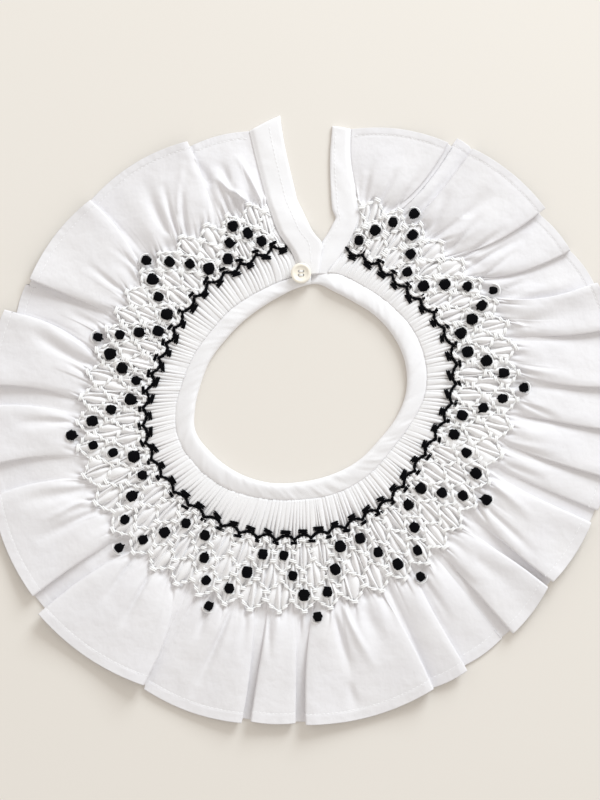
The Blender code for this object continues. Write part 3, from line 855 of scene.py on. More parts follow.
def pleated_piece(name, levels):
    """A closed ring of pleated cloth between two levels of the yoke."""
    cloth, level = cloth_columns[None, :], np.asarray(levels)[:, None]
    bearing = yoke_bearing(cloth, level)
    upper = points_at(bearing, yoke_distance(bearing, level), yoke_height(cloth, level))
    lower = upper[[0, -1]].copy()
    lower[..., 2] = 0.0
    piece = mesh_piece(name, *slab(upper, lower), WHITE_COTTON)
    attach(piece, "root")
    return piece, *drawn_out(name, upper, POINTS_A_PLEAT)


gathers, gathers_depth, gathers_length = pleated_piece("gathers", np.linspace(-1, 0, 15))
smocked_yoke, yoke_depth, yoke_length = pleated_piece("smocked_yoke", np.linspace(0, 4, 37))

# %% [markdown]
# ## The ruffle
#
# Below the last row the cloth is free. It leaves the smocking as soft gathers, one for each
# cell, which die out on the way down, and it lies in broad faces whose edges tuck under. Each
# row of the FOLDS table is one face. The ruffle is a thin shell, doubled at its hem.

# %% Ruffle folds at the hem
RUFFLE_COLUMNS = 1440
CLOTH_THIN = 0.6 * MM
RECESS_LEAST = 0.8  # two faces with more bearing than this between them show a low strip
TUCK = 1.2 * MM  # how far a fold's side runs back under its edge
RECESS_DIP = 0.4  # how much shorter the low strip between two folds is, in millimetres
CREVICE = 0.15  # bearing between a fold's edge and the face it lies on
HEM_BOW = 0.025  # how far a fold's hem swings out, as a share of its width
EDGE_ROUND, EDGE_FALL = 6, 0.9  # columns over which a fold's edge rounds down, and how far in mm

ruffle_cloth = np.linspace(YOKE_FROM, YOKE_TO, RUFFLE_COLUMNS)
root_bearing = yoke_bearing(ruffle_cloth, 4.0)
root_distance = yoke_distance(root_bearing, 4.0)


def column_at(bearing):
    """The column of cloth that leaves the smocking at a bearing."""
    return int(np.argmin(np.abs(root_bearing - bearing)))


def edge_lift(lift):
    """The height of a fold's own edge, a little below the face beside it."""
    return lift - min(EDGE_FALL, 0.3 * lift)


def under_edge(fold, after, count):
    """The cloth from one fold's edge to the next fold's, as bearings and lifts for its columns."""
    end, begin = fold[1], after[0]
    lift_end, lift_begin = edge_lift(fold[5]), edge_lift(after[4])
    under = degrees_along(TUCK, fold[3] * MM)
    along = np.linspace(0, 1, count + 2)[1:-1]
    if begin - end > RECESS_LEAST:
        down = min(lift_end, 1.0) * under
        up = min(lift_begin, 1.0) * under
        places = (0, 0.08, 0.2, 0.32, 0.68, 0.8, 0.92, 1)
        bearings = (end, end + 0.15 * down, end - 0.35 * down, end - down,
                    begin + up, begin + 0.35 * up, begin - 0.15 * up, begin)
        lifts = (lift_end, 0.8 * lift_end, 0.35 * lift_end, 0,
                 0, 0.35 * lift_begin, 0.8 * lift_begin, lift_begin)
    elif lift_end > lift_begin:
        places = (0, 0.12, 0.3, 0.5, 1)
        bearings = (end, end + 0.15 * under, end - 0.35 * under, end - under, begin - CREVICE)
        lifts = (lift_end, 0.75 * lift_end + 0.25 * lift_begin,
                 0.3 * lift_end + 0.7 * lift_begin, lift_begin, lift_begin)
    else:
        places = (0, 0.5, 0.7, 0.88, 1)
        bearings = (end + CREVICE, begin + under, begin + 0.35 * under,
                    begin - 0.15 * under, begin)
        lifts = (lift_end, lift_end, 0.3 * lift_begin + 0.7 * lift_end,
                 0.75 * lift_begin + 0.25 * lift_end, lift_begin)
    return np.interp(along, places, bearings), np.interp(along, places, lifts)


def hem_section():
    """Where each column of cloth meets the hem, and how it lies on its fold.

    It gives bearing, distance, lift, whether it is a face, and the face's billow: none at the
    edges of a fold and most in the middle, more for a broad fold.
    """
    bearing, reach, lift, face, billow = (np.zeros(RUFFLE_COLUMNS) for _ in range(5))
    for fold in FOLDS:
        begin, end, reach_from, reach_to, lift_from, lift_to, sag, root_from, root_to = fold
        first, last = column_at(root_from), column_at(root_to)
        here = slice(first, last + 1)
        share = np.linspace(0, 1, last - first + 1)
        bearing[here] = begin + (end - begin) * share
        bow = HEM_BOW * math.radians(end - begin) * reach_to * np.sin(math.pi * share)
        reach[here] = reach_from + (reach_to - reach_from) * share + bow
        lift[here] = lift_from + (lift_to - lift_from) * share - sag * np.sin(math.pi * share)
        steps = np.arange(last - first + 1)
        for edge, away in ((lift_from, steps), (lift_to, steps[::-1])):
            lift[here] -= (edge - edge_lift(edge)) * fading(away, EDGE_ROUND, 2)
        face[here] = 1
        billow[here] = np.sin(math.pi * share) ** 0.7 * min(1.7, 0.6 + 0.06 * (end - begin))
    for fold, after in zip(FOLDS, FOLDS[1:]):
        last, first = column_at(fold[-1]), column_at(after[-2])
        inside = slice(last + 1, first)
        bearing[inside], lift[inside] = under_edge(fold, after, first - last - 1)
        dip = RECESS_DIP if after[0] - fold[1] > RECESS_LEAST else 0.0
        ends = np.linspace(fold[3], after[2], first - last - 1)
        reach[inside] = np.minimum(ends, min(fold[3], after[2])) - dip
    return bearing, reach * MM, lift * MM, face, billow * MM


hem_bearing, hem_distance, hem_lift, on_face, billow = hem_section()
print("faces take", round(float(on_face.mean()) * 100), "% of the ruffle's columns")

# %% [markdown]
# A column of the ruffle turns from its place under the smocking to its place at the hem in the
# first half of its way, and then runs straight out. Its height comes from how high its fold
# lies and billows, from the pleats and gathers that it brings from the smocking, and from the
# creases. Short narrow ones start between the last stitches all round. The longer ones, with
# the hollows and ridges of the folds, are in CREASES and were placed from the photograph:
# each has its own course, length, height and width.

# %% Creases of the ruffle
CREASES = (
    # bearing at its start, at its end, from and to as shares of the way down, height, width
    (18.5, 17.0, 0.05, 0.60, -1.1, 1.2),
    (23.0, 23.8, 0.02, 0.50, -1.2, 0.9),
    (27.6, 29.2, 0.05, 0.65, -1.1, 1.1),
    (39.2, 36.2, 0.08, 0.50, -1.1, 1.6),
    (43.2, 43.4, 0.40, 0.76, -1.3, 2.2),
    (46.5, 45.6, 0.05, 0.50, -1.2, 1.0),
    (50.4, 51.4, 0.04, 0.60, -1.6, 0.8),
    (53.6, 55.3, 0.02, 0.75, -1.8, 1.0),
    (58.0, 56.6, 0.05, 0.60, -1.1, 0.8),
    (63.0, 64.2, 0.12, 0.55, -1.1, 0.8),
    (66.1, 68.5, 0.15, 0.90, 1.4, 1.8),
    (73.0, 73.6, 0.15, 0.80, -1.5, 2.8),
    (83.5, 87.0, 0.02, 0.60, 1.2, 1.5),
    (92.8, 96.3, 0.05, 0.45, -1.5, 0.9),
    (103.5, 103.2, 0.02, 0.55, 1.1, 1.3),
    (109.3, 110.0, 0.10, 0.50, -1.2, 1.2),
    (115.7, 118.8, 0.06, 0.60, 1.0, 1.4),
    (122.0, 125.0, 0.15, 0.75, -1.3, 1.2),
    (139.8, 137.9, 0.02, 0.50, -1.6, 1.2),
    (133.5, 132.0, 0.30, 0.80, -0.9, 2.4),
    (146.3, 146.5, 0.10, 0.60, -0.8, 1.0),
    (163.5, 161.5, 0.10, 0.60, -1.4, 2.8),
    (169.0, 164.5, 0.04, 0.62, 1.2, 1.3),
    (171.2, 169.5, 0.10, 0.64, -1.7, 1.1),
    (170.3, 170.0, 0.72, 0.93, -0.9, 1.3),
    (188.0, 186.5, 0.02, 0.45, -1.1, 0.9),
    (197.5, 199.7, 0.03, 0.88, -1.7, 1.2),
    (203.4, 202.6, 0.05, 0.42, -0.9, 0.9),
    (219.6, 217.2, 0.04, 0.62, -1.4, 0.9),
    (225.4, 223.2, 0.04, 0.55, -1.2, 0.8),
    (231.6, 231.0, 0.10, 0.45, -1.0, 1.2),
    (239.9, 240.6, 0.05, 0.72, -1.4, 1.3),
    (243.4, 243.3, 0.02, 0.60, 1.0, 0.9),
    (245.2, 248.9, 0.02, 0.75, -1.5, 1.7),
    (262.6, 264.0, 0.08, 0.72, -1.3, 1.5),
    (277.4, 283.5, 0.05, 0.72, -1.7, 1.8),
    (288.4, 289.0, 0.10, 0.50, -1.0, 2.0),
    (299.5, 301.0, 0.05, 0.60, -1.0, 1.2),
    (307.0, 308.0, 0.05, 0.50, -1.0, 1.0),
    (320.0, 323.6, 0.20, 0.80, -1.2, 1.8),
    (322.0, 327.0, 0.04, 0.66, -1.4, 1.1),
    (324.6, 331.0, 0.04, 0.66, -1.2, 0.9),
    (325.5, 333.0, 0.25, 0.80, 1.0, 1.1),
    (338.8, 338.6, 0.02, 0.46, -1.5, 0.8),
    (337.0, 335.6, 0.45, 0.80, -1.0, 1.6),
    (342.0, 340.8, 0.06, 0.42, -1.4, 1.3),
    (344.8, 338.5, 0.04, 0.54, 1.9, 0.9),
    (341.5, 340.5, 0.42, 0.72, -1.2, 1.5),
    (348.8, 345.0, 0.06, 0.72, 1.2, 1.0),
    (349.9, 348.8, 0.08, 0.60, -1.1, 0.8),
)
ROOT_CREASES = 124  # the short ones under the last row


def gather_swell(cloth, share):
    """The soft gathers that run down from the smocking, one for each cell, each its own length."""
    cell = np.round(cell_turn(cloth))
    phase = cell_turn(cloth) - cell
    reach = 0.5 + 0.28 * uneven(cell * 1.9, 31)
    high = (1.0 + 0.6 * uneven(cell * 2.7, 32)) * MM
    begun = np.clip(share / 0.06, 0, 1)
    return high * fading(share, reach, 1.3) * np.cos(2 * np.pi * phase) * begun


def root_creases(cloth, share):
    """The short narrow creases between the last row's stitches, as a height to add."""
    depth = np.zeros(np.broadcast(cloth, share).shape)
    turn = cell_turn(cloth)
    for k in range(ROOT_CREASES):
        place = -1 + k / 2.5 + 0.3 * float(uneven(k * 1.37, 34))
        length = 0.14 + 0.42 * float(1 + uneven(k * 2.1, 35)) ** 2 / 4
        deep = (1.4 + 0.9 * float(uneven(k * 1.9, 36))) * MM
        along = share / length
        middle = place + 0.3 * float(uneven(k * 3.3, 37)) * along
        width = 0.05 + 0.11 * along
        strength = fading(along, 1, 1.2) * np.clip(along / 0.1, 0, 1)
        depth -= deep * strength * np.exp(-(((turn - middle) / width) ** 2))
    return depth


def crease_depth(bearing, share):
    """The listed creases, as a height to add at a bearing and a share of the way down."""
    depth = np.zeros(np.broadcast(bearing, share).shape)
    for start, stop, begin, end, height, width in CREASES:
        along = np.clip((share - begin) / (end - begin), 0, 1)
        middle = start + (stop - start) * along
        strength = np.sin(np.pi * along**0.6) ** 0.8
        broad = width * (0.55 + 0.7 * along)
        depth += height * MM * strength * np.exp(-(((bearing - middle) / broad) ** 2) * 1.6)
    return depth * (1.35 - 0.5 * np.exp(-(((bearing - 100) / 42) ** 2)))


print(len(CREASES), "creases placed by hand")

# %% Ruffle surface
RUFFLE_SPREAD = 14  # columns over which the cloth leans to meet a placket
PLEATS_END = 0.22  # share of the ruffle over which the fine pleats die out
ROOT_KEEPS = 0.1  # share of it over which the height of the last row of smocking dies out
HEM_STEP, HEM_SUNK = 0.13 * MM, 0.17 * MM  # how high the turned-up hem stands, how deep its seam is
BAND_ROWS = (1.2, 1.1, 1.0, 0.9, 0.8, 0.45, 0.06, 0.0)  # rows of the hem, as shares of its depth
HEM_DEEP = (4.3 - 0.8 * np.cos(np.radians(hem_bearing))) * MM  # deeper at the front
ROWS_ABOVE = 33


def ruffle_rows():
    """Each column's rows of points, as shares of its way from the smocking to the hem."""
    length = hem_distance - root_distance
    band = 1 - np.array(BAND_ROWS)[:, None] * HEM_DEEP / length
    above = np.linspace(0, 1, ROWS_ABOVE, endpoint=False)[:, None] ** 1.2 * band[0]
    return np.concatenate([above, band])


ruffle_share = ruffle_rows()


def ruffle_surface():
    """The ruffle's upper side as rows of points."""
    cloth, share = ruffle_cloth[None, :], ruffle_share
    root_height = yoke_height(cloth, 4.0)
    turn = 1 - (1 - share) ** 3
    distance = root_distance + (hem_distance - root_distance) * share
    bearing = root_bearing + (hem_bearing - root_bearing) * turn
    starts, ends = drawn_over(cloth, RUFFLE_SPREAD)
    painted_gap_shade = degrees_along(SEAM_GAP, distance)
    begin, finish = right_seam(distance) + painted_gap_shade, 360 + left_seam(distance) - painted_gap_shade
    bearing = bearing + (begin - bearing)[:, :1] * starts + (finish - bearing)[:, -1:] * ends

    # the free cloth: its fold's lift and billow, the gathers and the creases
    loose = 1.7 * MM * np.sin(np.pi * share**0.7) * (1 - share)
    swollen = billow * np.sin(np.pi * share**0.62) ** 1.2
    free = CLOTH_THIN + hem_lift * share**0.7 + loose + swollen
    free = free + gather_swell(cloth, share) + crease_depth(bearing, share)
    free = free + root_creases(cloth, share)

    # at its root it still has the height and the pleats of the last row
    pleats = (pleat_ridge(cloth) - 0.6) * MM * fading(share, PLEATS_END, 1.5)
    keep = fading(share, ROOT_KEEPS, 1.5)
    height = root_height * keep + (free + pleats * 0.8) * (1 - keep)
    soft = 0.3 * MM * uneven_field(cloth / 3.1, share * 2.6, 33) * np.sin(np.pi * share)

    # the turned-up hem stands a little higher, and its seam is drawn in
    from_hem = hem_distance - distance
    on_line = np.exp(-(((from_hem - HEM_DEEP) / (0.35 * MM)) ** 2))
    turned_up = smooth_step(-1.1, -0.9, -from_hem / HEM_DEEP)
    pucker = 0.5 + 0.5 * uneven(ruffle_cloth * 1.9, 38)
    hem = HEM_STEP * turned_up * (0.6 + 0.8 * pucker) - HEM_SUNK * on_line * (0.4 + pucker)
    ends_down = 1 - 0.55 * np.maximum(starts, ends) ** 2 * smooth_step(0.0, 0.2, share)
    return points_at(bearing, distance, np.maximum((height + soft) * ends_down + hem, CLOTH_THIN))


def under_side(upper, thickness):
    """A sheet's lower side: each point moved in by the cloth's thickness, never below z = 0."""
    normal = unit(np.cross(np.gradient(upper, axis=0), np.gradient(upper, axis=1)))
    lower = upper - normal * np.sign(np.median(normal[..., 2])) * thickness
    lower[..., 2] = np.maximum(lower[..., 2], 0.0)
    return lower


ruffle_upper = ruffle_surface()
hem_fold = smooth_step(0.9, 0.92, ruffle_share)[..., None]
ruffle_lower = under_side(ruffle_upper, CLOTH_THIN * 0.8 + CLOTH_THIN * 0.2 * hem_fold)
kept_rows = [*range(0, 12), *range(12, ROWS_ABOVE, 2), *range(ROWS_ABOVE, len(ruffle_share), 2)]
ruffle = mesh_piece("ruffle", *slab(ruffle_upper, ruffle_lower[kept_rows]), THIN_COTTON)
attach(ruffle, "root")
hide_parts("collar_panel")
ruffle_depth, ruffle_length = drawn_out("ruffle", ruffle_upper)

# %% [markdown]
# ## Neckband and plackets
#
# The band is a bias strip folded over the gathers, so it is smooth and full, with a few slack
# diagonal creases where the bias was eased round the neck. Its left end laps over the right.
# Its outer edge rolls down over the ends of the pleats, so no gap shows between them.

# %% Neckband
BAND_HEIGHT = 4.0 * MM
LAP_LOW = 1.9 * MM  # thickness of the right end, where the left one lies on it
LAP_HIGH, LAP_TOP = 2.2 * MM, 4.3 * MM  # heights of the left end's two sides there
LAP_FROM, LAP_TO = -4.0, 365.5  # bearings of the band's lower and upper ends
LAP_RISE, LAP_THIN = (344, 355), (8, 17)  # where the left end rises, and where the right one thins
BAND_SECTIONS, BAND_ROUNDINGS = 900, 2
BAND_SOFT = 0.28  # how far its corners are rounded, as a share of its thickness
OVER_SEAM = 0.45 * MM  # how far a piece laps over the cloth beside it


def neckband_surface():
    """The band's sections as (section, point, 3)."""
    bearing = np.linspace(LAP_FROM, LAP_TO, BAND_SECTIONS)
    neck, seam = neck_ring(bearing), seam_ring(bearing)
    over = smooth_step(*LAP_RISE, bearing)
    under = 1 - smooth_step(*LAP_THIN, bearing)
    base = LAP_HIGH * over
    top = BAND_HEIGHT + (LAP_TOP - BAND_HEIGHT) * over - (BAND_HEIGHT - LAP_LOW) * under
    soft = (top - base) * BAND_SOFT
    full = top - base
    profile = (
        (neck + soft, base),
        (neck, base + soft),
        (neck, top - soft * 1.3),
        (neck + soft * 1.3, top),
        ((neck + seam) / 2, top - 0.03 * full),
        (seam - 1.6 * MM, top - 0.17 * full),
        (seam + 0.1 * MM, top - 0.29 * full),
        (seam + OVER_SEAM, base + 0.57 * full),
        (seam, base + 0.44 * full),
        (seam - soft * 0.6, base),
    )
    section = np.stack([points_at(bearing, out, height) for out, height in profile], axis=1)
    for _ in range(BAND_ROUNDINGS):
        before, after = np.roll(section, 1, axis=1), np.roll(section, -1, axis=1)
        middle, rounder = (section + after) / 2, section * 0.75 + (before + after) / 8
        section = np.stack([rounder, middle], axis=2).reshape(BAND_SECTIONS, -1, 3)
    width = (distance_of(section) - neck[:, None]) / (seam - neck)[:, None]
    on_top = smooth_step(0.5, 0.95, (section[..., 2] - base[:, None]) / (top - base)[:, None])
    slant = bearing[:, None] / 4.6 + width * 1.9
    slack = 0.3 * uneven_field(slant, width * 1.1, 41) + 0.16 * uneven_field(slant * 2.3, width, 42)
    section[..., 2] += slack * MM * on_top
    return section


neckband = mesh_piece("neckband_cloth", *tubes(neckband_surface()[None]), PRESSED_COTTON)
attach(neckband, "root")
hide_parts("neckband")

# %% Plackets
PLACKET_WALL = 1.7 * MM
PLACKET_CROWN, PLACKET_EDGE = 0.25 * MM, 0.45 * MM
PLACKETS_PART = (74.5 * MM, 84 * MM)  # distances between which the left one comes down
SOFT_TO = 104 * MM  # and the distance at which its upper side has come down, more softly
SEAM_LOW = (84 * MM, 100 * MM)  # distances between which the seams come down with the ruffle
PLACKET_ROWS, PLACKET_ACROSS = 110, 25
SEAM_FALL = 2.6 * MM  # how wide a placket's fall to its seam is


def placket_surface(free, seam, inward, hems, base, seed):
    """A placket's upper and lower sheets of points, from its free edge to its seam."""
    across = np.linspace(0, 1, PLACKET_ACROSS)
    ends = (hems[0] + (hems[1] - hems[0]) * across) * MM
    nearest = BACK_EDGES[0][0] * MM
    begins = seam_ring(free(nearest) + (seam(nearest) - free(nearest)) * across) - 0.2 * MM
    stations = begins + (ends - begins) * np.linspace(0, 1, PLACKET_ROWS)[:, None]
    lapped = degrees_along(OVER_SEAM, stations) * inward
    bearing = free(stations) + (seam(stations) - lapped - free(stations)) * across
    under, lies_on = base(stations)
    width = np.abs(np.radians(seam(stations) - free(stations))) * stations
    free_edge = np.clip(across * width / (1.1 * MM), 0, 1)
    crown = PLACKET_CROWN * np.sin(math.pi * across) - PLACKET_EDGE * (1 - free_edge) ** 2
    slack = 0.34 * uneven_field(stations / (13 * MM), across * 1.6, seed)
    slack = slack + 0.12 * uneven_field(stations / (4 * MM), across * 3.0, seed + 1)
    upper = lies_on + PLACKET_WALL + crown + slack * MM * free_edge
    low = (0.85 + 1.15 * (1 - smooth_step(*SEAM_LOW, stations))) * MM
    to_seam = eased(fading((1 - across) * width, SEAM_FALL))
    upper = upper + (np.maximum(low, under + 0.3 * MM) - upper) * to_seam
    upper = upper - 0.3 * MM * fading(ends - stations, 0.8 * MM, 2)
    return points_at(bearing, stations, upper), points_at(bearing, stations, under)


def over_lap(distance):
    """The left placket's underside, on the right one near the neck, and its softer upper side."""
    under = LAP_HIGH * (1 - smooth_step(*PLACKETS_PART, distance))
    return under, LAP_HIGH * (1 - smooth_step(PLACKETS_PART[0], SOFT_TO, distance))


def on_table(distance):
    """The right placket lies on the table."""
    return np.zeros_like(distance), np.zeros_like(distance)


placket_tops = {}
for name, free, seam, inward, hems, base, seed in (
    ("left_placket", left_free, left_seam, 1, LEFT_HEM, over_lap, 51),
    ("right_placket", right_free, right_seam, -1, RIGHT_HEM, on_table, 53),
):
    top, bottom = placket_surface(free, seam, inward, hems, base, seed)
    placket_tops[name] = top
    strip = mesh_piece(f"{name}_cloth", *slab(top, bottom), PRESSED_COTTON)
    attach(strip, "root")
    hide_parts(name)

# %% [markdown]
# ## Embroidery
#
# The smocking thread has two plies that show. A row is worked in stem and wave stitches, so
# each arch ends in a short bar that holds two pleats together, one bar at each peak and one at
# each trough, and in the white rows a slanted step between them. A thread is made as two thin
# strands that twist about its path.

# %% Two-ply thread


def two_ply(path, ply, pitch):
    """Two strands twisted about one path, given as (point, 3)."""
    across, rising = sides_of(path)
    run = np.cumsum(np.linalg.norm(np.gradient(path, axis=0), axis=-1))
    turn = (run / pitch * 2 * math.pi)[:, None]
    apart = across * np.cos(turn) + rising * np.sin(turn)
    return np.stack([path + apart * ply * 0.62, path - apart * ply * 0.62])


def crest_line(row):
    """Bearings along a row, and the height at which thread lies on its pleats."""
    bearing, height = yoke_bearing(cloth_columns, float(row)), yoke_height(cloth_columns, row)
    reach = POINTS_A_PLEAT // 2 + 1
    padded = np.pad(height, reach, mode="edge")
    bridged = np.max([padded[k : k + len(height)] for k in range(2 * reach + 1)], axis=0)
    even = np.convolve(np.pad(bridged, reach, mode="edge"), np.ones(2 * reach + 1), "valid")
    return bearing, 0.8 * even / (2 * reach + 1) + 0.2 * height


CREST_LINES = [crest_line(row) for row in range(5)]


def on_crests(bearing, row):
    """The height of the bridged pleats of a row at a bearing."""
    return np.interp(bearing, *CREST_LINES[row])


def along_row(row, height, step):
    """A row's path over the crests of the pleats, sampled every step degrees."""
    begin, finish = row_ends(float(row))
    bearing = np.arange(float(begin) + 0.1, float(finish) - 0.1, step)
    wander = 0.3 * MM * uneven(cell_turn(bearing) * 2.3, 60 + row)
    return points_at(bearing, stitch_line(bearing, row) + wander, on_crests(bearing, row) + height)


BAR_POINTS = 7


def bar_path(bearing, distance, length, high, tilt):
    """A short bar across the pleats that dips at its two ends."""
    along = np.linspace(-0.5, 0.5, BAR_POINTS)
    dipping = high - 0.5 * MM * (2 * along) ** 4
    return points_beside(bearing, distance, length * along, tilt * along * length, dipping)


def row_bars(row, parts, length, ply, height, offset, seed, slant=0.0):
    """The bars of a row at some parts of each cell, two plies each.

    Part 0 is the cell's middle and 0.5 its corner; offset moves a bar outwards from them, away
    from the row. A slant makes a bar between them follow the row's own slope.
    """
    begin, finish = row_ends(float(row))
    paths = []
    for turn in (cell + part for cell in range(-1, 49) for part in parts):
        bearing = float(cell_bearing(turn))
        bearing += float(lean_at(bearing, row_place(row)))
        if not begin + 0.8 < bearing < finish - 0.8:
            continue
        near_corner = abs(turn - round(turn)) > 0.25
        side = row_side(row) * (1 if near_corner else -1)
        distance = float(stitch_line(np.array([bearing]), row)[0]) + side * offset
        drift = float(uneven(turn * 5.48, seed))
        long = length * (1 + 0.22 * drift)
        rising = slant * row_side(row) * (1 if turn % 1 < 0.5 else -1)
        tilt = rising + 0.4 * float(uneven(turn * 8.4, seed + 1))
        high = float(on_crests(bearing, row)) + height + 0.15 * MM * drift
        for ply_side in (-0.5, 0.5):
            out = distance + ply_side * ply * 1.8
            paths.append(bar_path(bearing + 0.25 * drift, out, long, high, tilt))
    return strands(paths, ply * rounded_ends(BAR_POINTS, 0.2, 0.45))


BLACK_PLY, WHITE_PLY = 0.5 * MM, 0.29 * MM
black_path = along_row(0, 0.5 * MM, 0.2)
black_parts = [
    strands(two_ply(black_path, BLACK_PLY, 4.6 * MM), BLACK_PLY, sides=8),
    row_bars(0, (0.0,), 4.6 * MM, 0.56 * MM, 0.8 * MM, 1.6 * MM, 71),
    row_bars(0, (0.5,), 4.0 * MM, 0.42 * MM, 0.9 * MM, 1.4 * MM, 73),
]
black_row = mesh_piece("black_row", *joined(black_parts), BLACK_THREAD)
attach(black_row, "root")

white_parts = []
for row in (1, 2, 3, 4):
    path = along_row(row, 0.1 * MM, 0.42)
    white_parts.append(strands(two_ply(path, WHITE_PLY, 2.6 * MM), WHITE_PLY, sides=5))
    seed = 80 + 4 * row
    white_parts.append(row_bars(row, (0.0, 0.5), 3.5 * MM, 0.45 * MM, 0.75 * MM, 0.5 * MM, seed))
    white_parts.append(
        row_bars(row, (0.25, 0.75), 2.5 * MM, 0.42 * MM, 0.7 * MM, 0.0, seed + 2, slant=0.4)
    )
trellis = mesh_piece("trellis_rows", *joined(white_parts), WHITE_THREAD)
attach(trellis, "root")

# %% [markdown]
# The black spots are small satin-stitched knots: six strands side by side, drawn over the
# pleats and pulled in at their ends, each leaning its own way, and many with a tail of thread
# that dips into the next groove. They stand in twelve V shapes whose tips point to the hem,
# and the spot at each tip is a little smaller. Below each knot a loop of white thread holds
# the diamond's corner.

# %% Satin spots
SPOT_LEVELS = (0.216, 0.469, 0.716, 1.0)  # shares of the worked depth
SPOT_SIZE = 4.9 * MM
SPOT_STRANDS, SPOT_POINTS = 6, 9
LOOP_R = 3.3 * MM


def spot_places():
    """Bearing, distance and share of the usual size of each satin spot."""
    places = []
    for tip, _ in POINTS_OF_V:
        apart = (1.5, 1.0, 0.5, 0.0) if tip != POINTS_OF_V[-1][0] else (1.0, 0.5, 0.0)
        for beside, level in zip(apart, SPOT_LEVELS):
            for cell in sorted({tip - beside, tip + beside}):
                bearing = float(cell_bearing(cell))
                bearing += float(lean_at(bearing, level))
                out = float(first_row(bearing) + level * smocked_depth(bearing))
                places.append((bearing, out, 0.9 if level == 1.0 else 1.0))
    return places


def satin_spot(bearing, distance, share, number):
    """One satin spot as its strands' paths, and its tail of thread if one shows."""
    lean = math.radians(32 * float(uneven(number * 1.7, 91)))
    size = SPOT_SIZE * share * (1 + 0.13 * float(uneven(number * 2.3, 92)))
    width = size / SPOT_STRANDS
    middle = (SPOT_STRANDS - 1) / 2
    along = np.linspace(-0.5, 0.5, SPOT_POINTS)

    def laid(x, y, height):
        aside = x * math.cos(lean) - y * math.sin(lean)
        out = x * math.sin(lean) + y * math.cos(lean)
        return points_beside(bearing, distance, aside, out, height)

    paths = []
    for k in range(SPOT_STRANDS):
        beside = abs(k - middle)
        side = (k - middle) * width * (1 - 0.1 * (2 * along) ** 2)
        skew = 0.07 * (k - middle) * float(uneven(number * 2.9, 94))
        trim = 1.0 - 0.07 * beside**1.5 + 0.08 * float(uneven(number * 3.1 + k, 93))
        height = CREST + (0.95 + 0.75 * (1 - (2 * along) ** 4) - 0.08 * beside) * MM
        paths.append(laid(along * size * trim * (1 + skew), side, height))
    tail = None
    if uneven(number * 1.9, 95) > -0.45:
        way = math.radians(-90 + 55 * float(uneven(number * 2.6, 96)))
        reach = 0.62 + 0.14 * float(uneven(number * 3.7, 97))
        run = np.linspace(0.28, reach, SPOT_POINTS) * size
        drop = CREST + (1.0 - 1.1 * np.linspace(0, 1, SPOT_POINTS) ** 1.5) * MM
        tail = laid(run * math.cos(way), run * math.sin(way), drop)
    return paths, width * 0.72, tail


spots, spot_parts, loop_paths = spot_places(), [], []
for number, (bearing, distance, share) in enumerate(spots):
    paths, thick, tail = satin_spot(bearing, distance, share, number)
    spot_parts.append(strands(paths, thick * rounded_ends(SPOT_POINTS, 0.16, 0.6), sides=8))
    if tail is not None:
        spot_parts.append(strands([tail], np.linspace(0.95, 0.3, SPOT_POINTS) * MM, sides=8))
    turn = np.radians(np.linspace(160, 20, 13))
    aside, out = LOOP_R * np.cos(turn), LOOP_R * np.sin(turn)
    high = CREST + PUFF * 0.2 + 0.3 * MM * np.sin(turn)
    loop_paths.append(points_beside(bearing, distance, aside, out, high))
satin_spots = mesh_piece("satin_spots", *joined(spot_parts), BLACK_THREAD)
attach(satin_spots, "root")
loops = mesh_piece("spot_loops", *strands(loop_paths, 0.36 * MM * rounded_ends(13)), WHITE_THREAD)
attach(loops, "root")
print(len(spots), "satin spots")

# %% [markdown]
# ## Sewing
#
# The hem is turned up and held by a line of small stitches about 4 mm from its edge, and each
# placket by a line along its seam. A stitch is a short strand, sunk a little into the cloth.

# %% Stitched lines


def resampled(path, step):
    """Points every step along a path."""
    run = np.concatenate([[0], np.cumsum(np.linalg.norm(np.diff(path, axis=0), axis=-1))])
    places = np.arange(0, run[-1], step)
    return np.stack([np.interp(places, run, path[:, k]) for k in range(3)], axis=-1)


def stitches_on(path, long, pitch, lift):
    """The stitches along one line on the cloth, as short arched paths."""
    fine = resampled(path, pitch / 8)
    reach = round(long / pitch * 8) + 1
    rise = lift * np.sin(np.linspace(0, math.pi, reach)) ** 0.5
    paths = []
    for first in range(0, len(fine) - reach, 8):
        stitch = fine[first : first + reach].copy()
        stitch[:, 2] += rise - lift * 0.4
        paths.append(stitch)
    return paths


def hem_line(inside):
    """The line on the ruffle that lies so far inside its hem, in stretches, one for each face."""
    distance = distance_of(ruffle_upper)
    place = distance[-1] - inside
    line = np.zeros((RUFFLE_COLUMNS, 3))
    for column, points in enumerate(ruffle_upper.swapaxes(0, 1)):
        for k in range(3):
            line[column, k] = np.interp(place[column], distance[:, column], points[:, k])
    cuts = np.flatnonzero(np.diff(on_face) != 0) + 1
    return [part for part in np.split(line, cuts)[::2] if len(part) > 3]


STITCH = (1.5 * MM, 2.1 * MM, 0.14 * MM)  # how long, how far apart, how high
STITCH_R = 0.13 * MM

stitch_paths = []
for face_line in hem_line(HEM_DEEP):
    stitch_paths += stitches_on(face_line, *STITCH)
for name, share in (("left_placket", 0.36), ("right_placket", 0.22)):
    column = round(share * (PLACKET_ACROSS - 1))
    stitch_paths += stitches_on(placket_tops[name][8:-2, column], *STITCH)
stitch_radii = STITCH_R * rounded_ends(len(stitch_paths[0]))
hem_stitches = mesh_piece(
    "hem_stitches", *strands(stitch_paths, stitch_radii, sides=5), WHITE_THREAD
)
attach(hem_stitches, "root")
print(len(stitch_paths), "stitches")

# %% [markdown]
# ## The button
#
# A turned button with a raised rim, a dished middle and four holes. The outline is spun round
# in 96 steps, and the holes are cut by a Boolean. Thread crosses between the holes.

# %% Button finish and shape


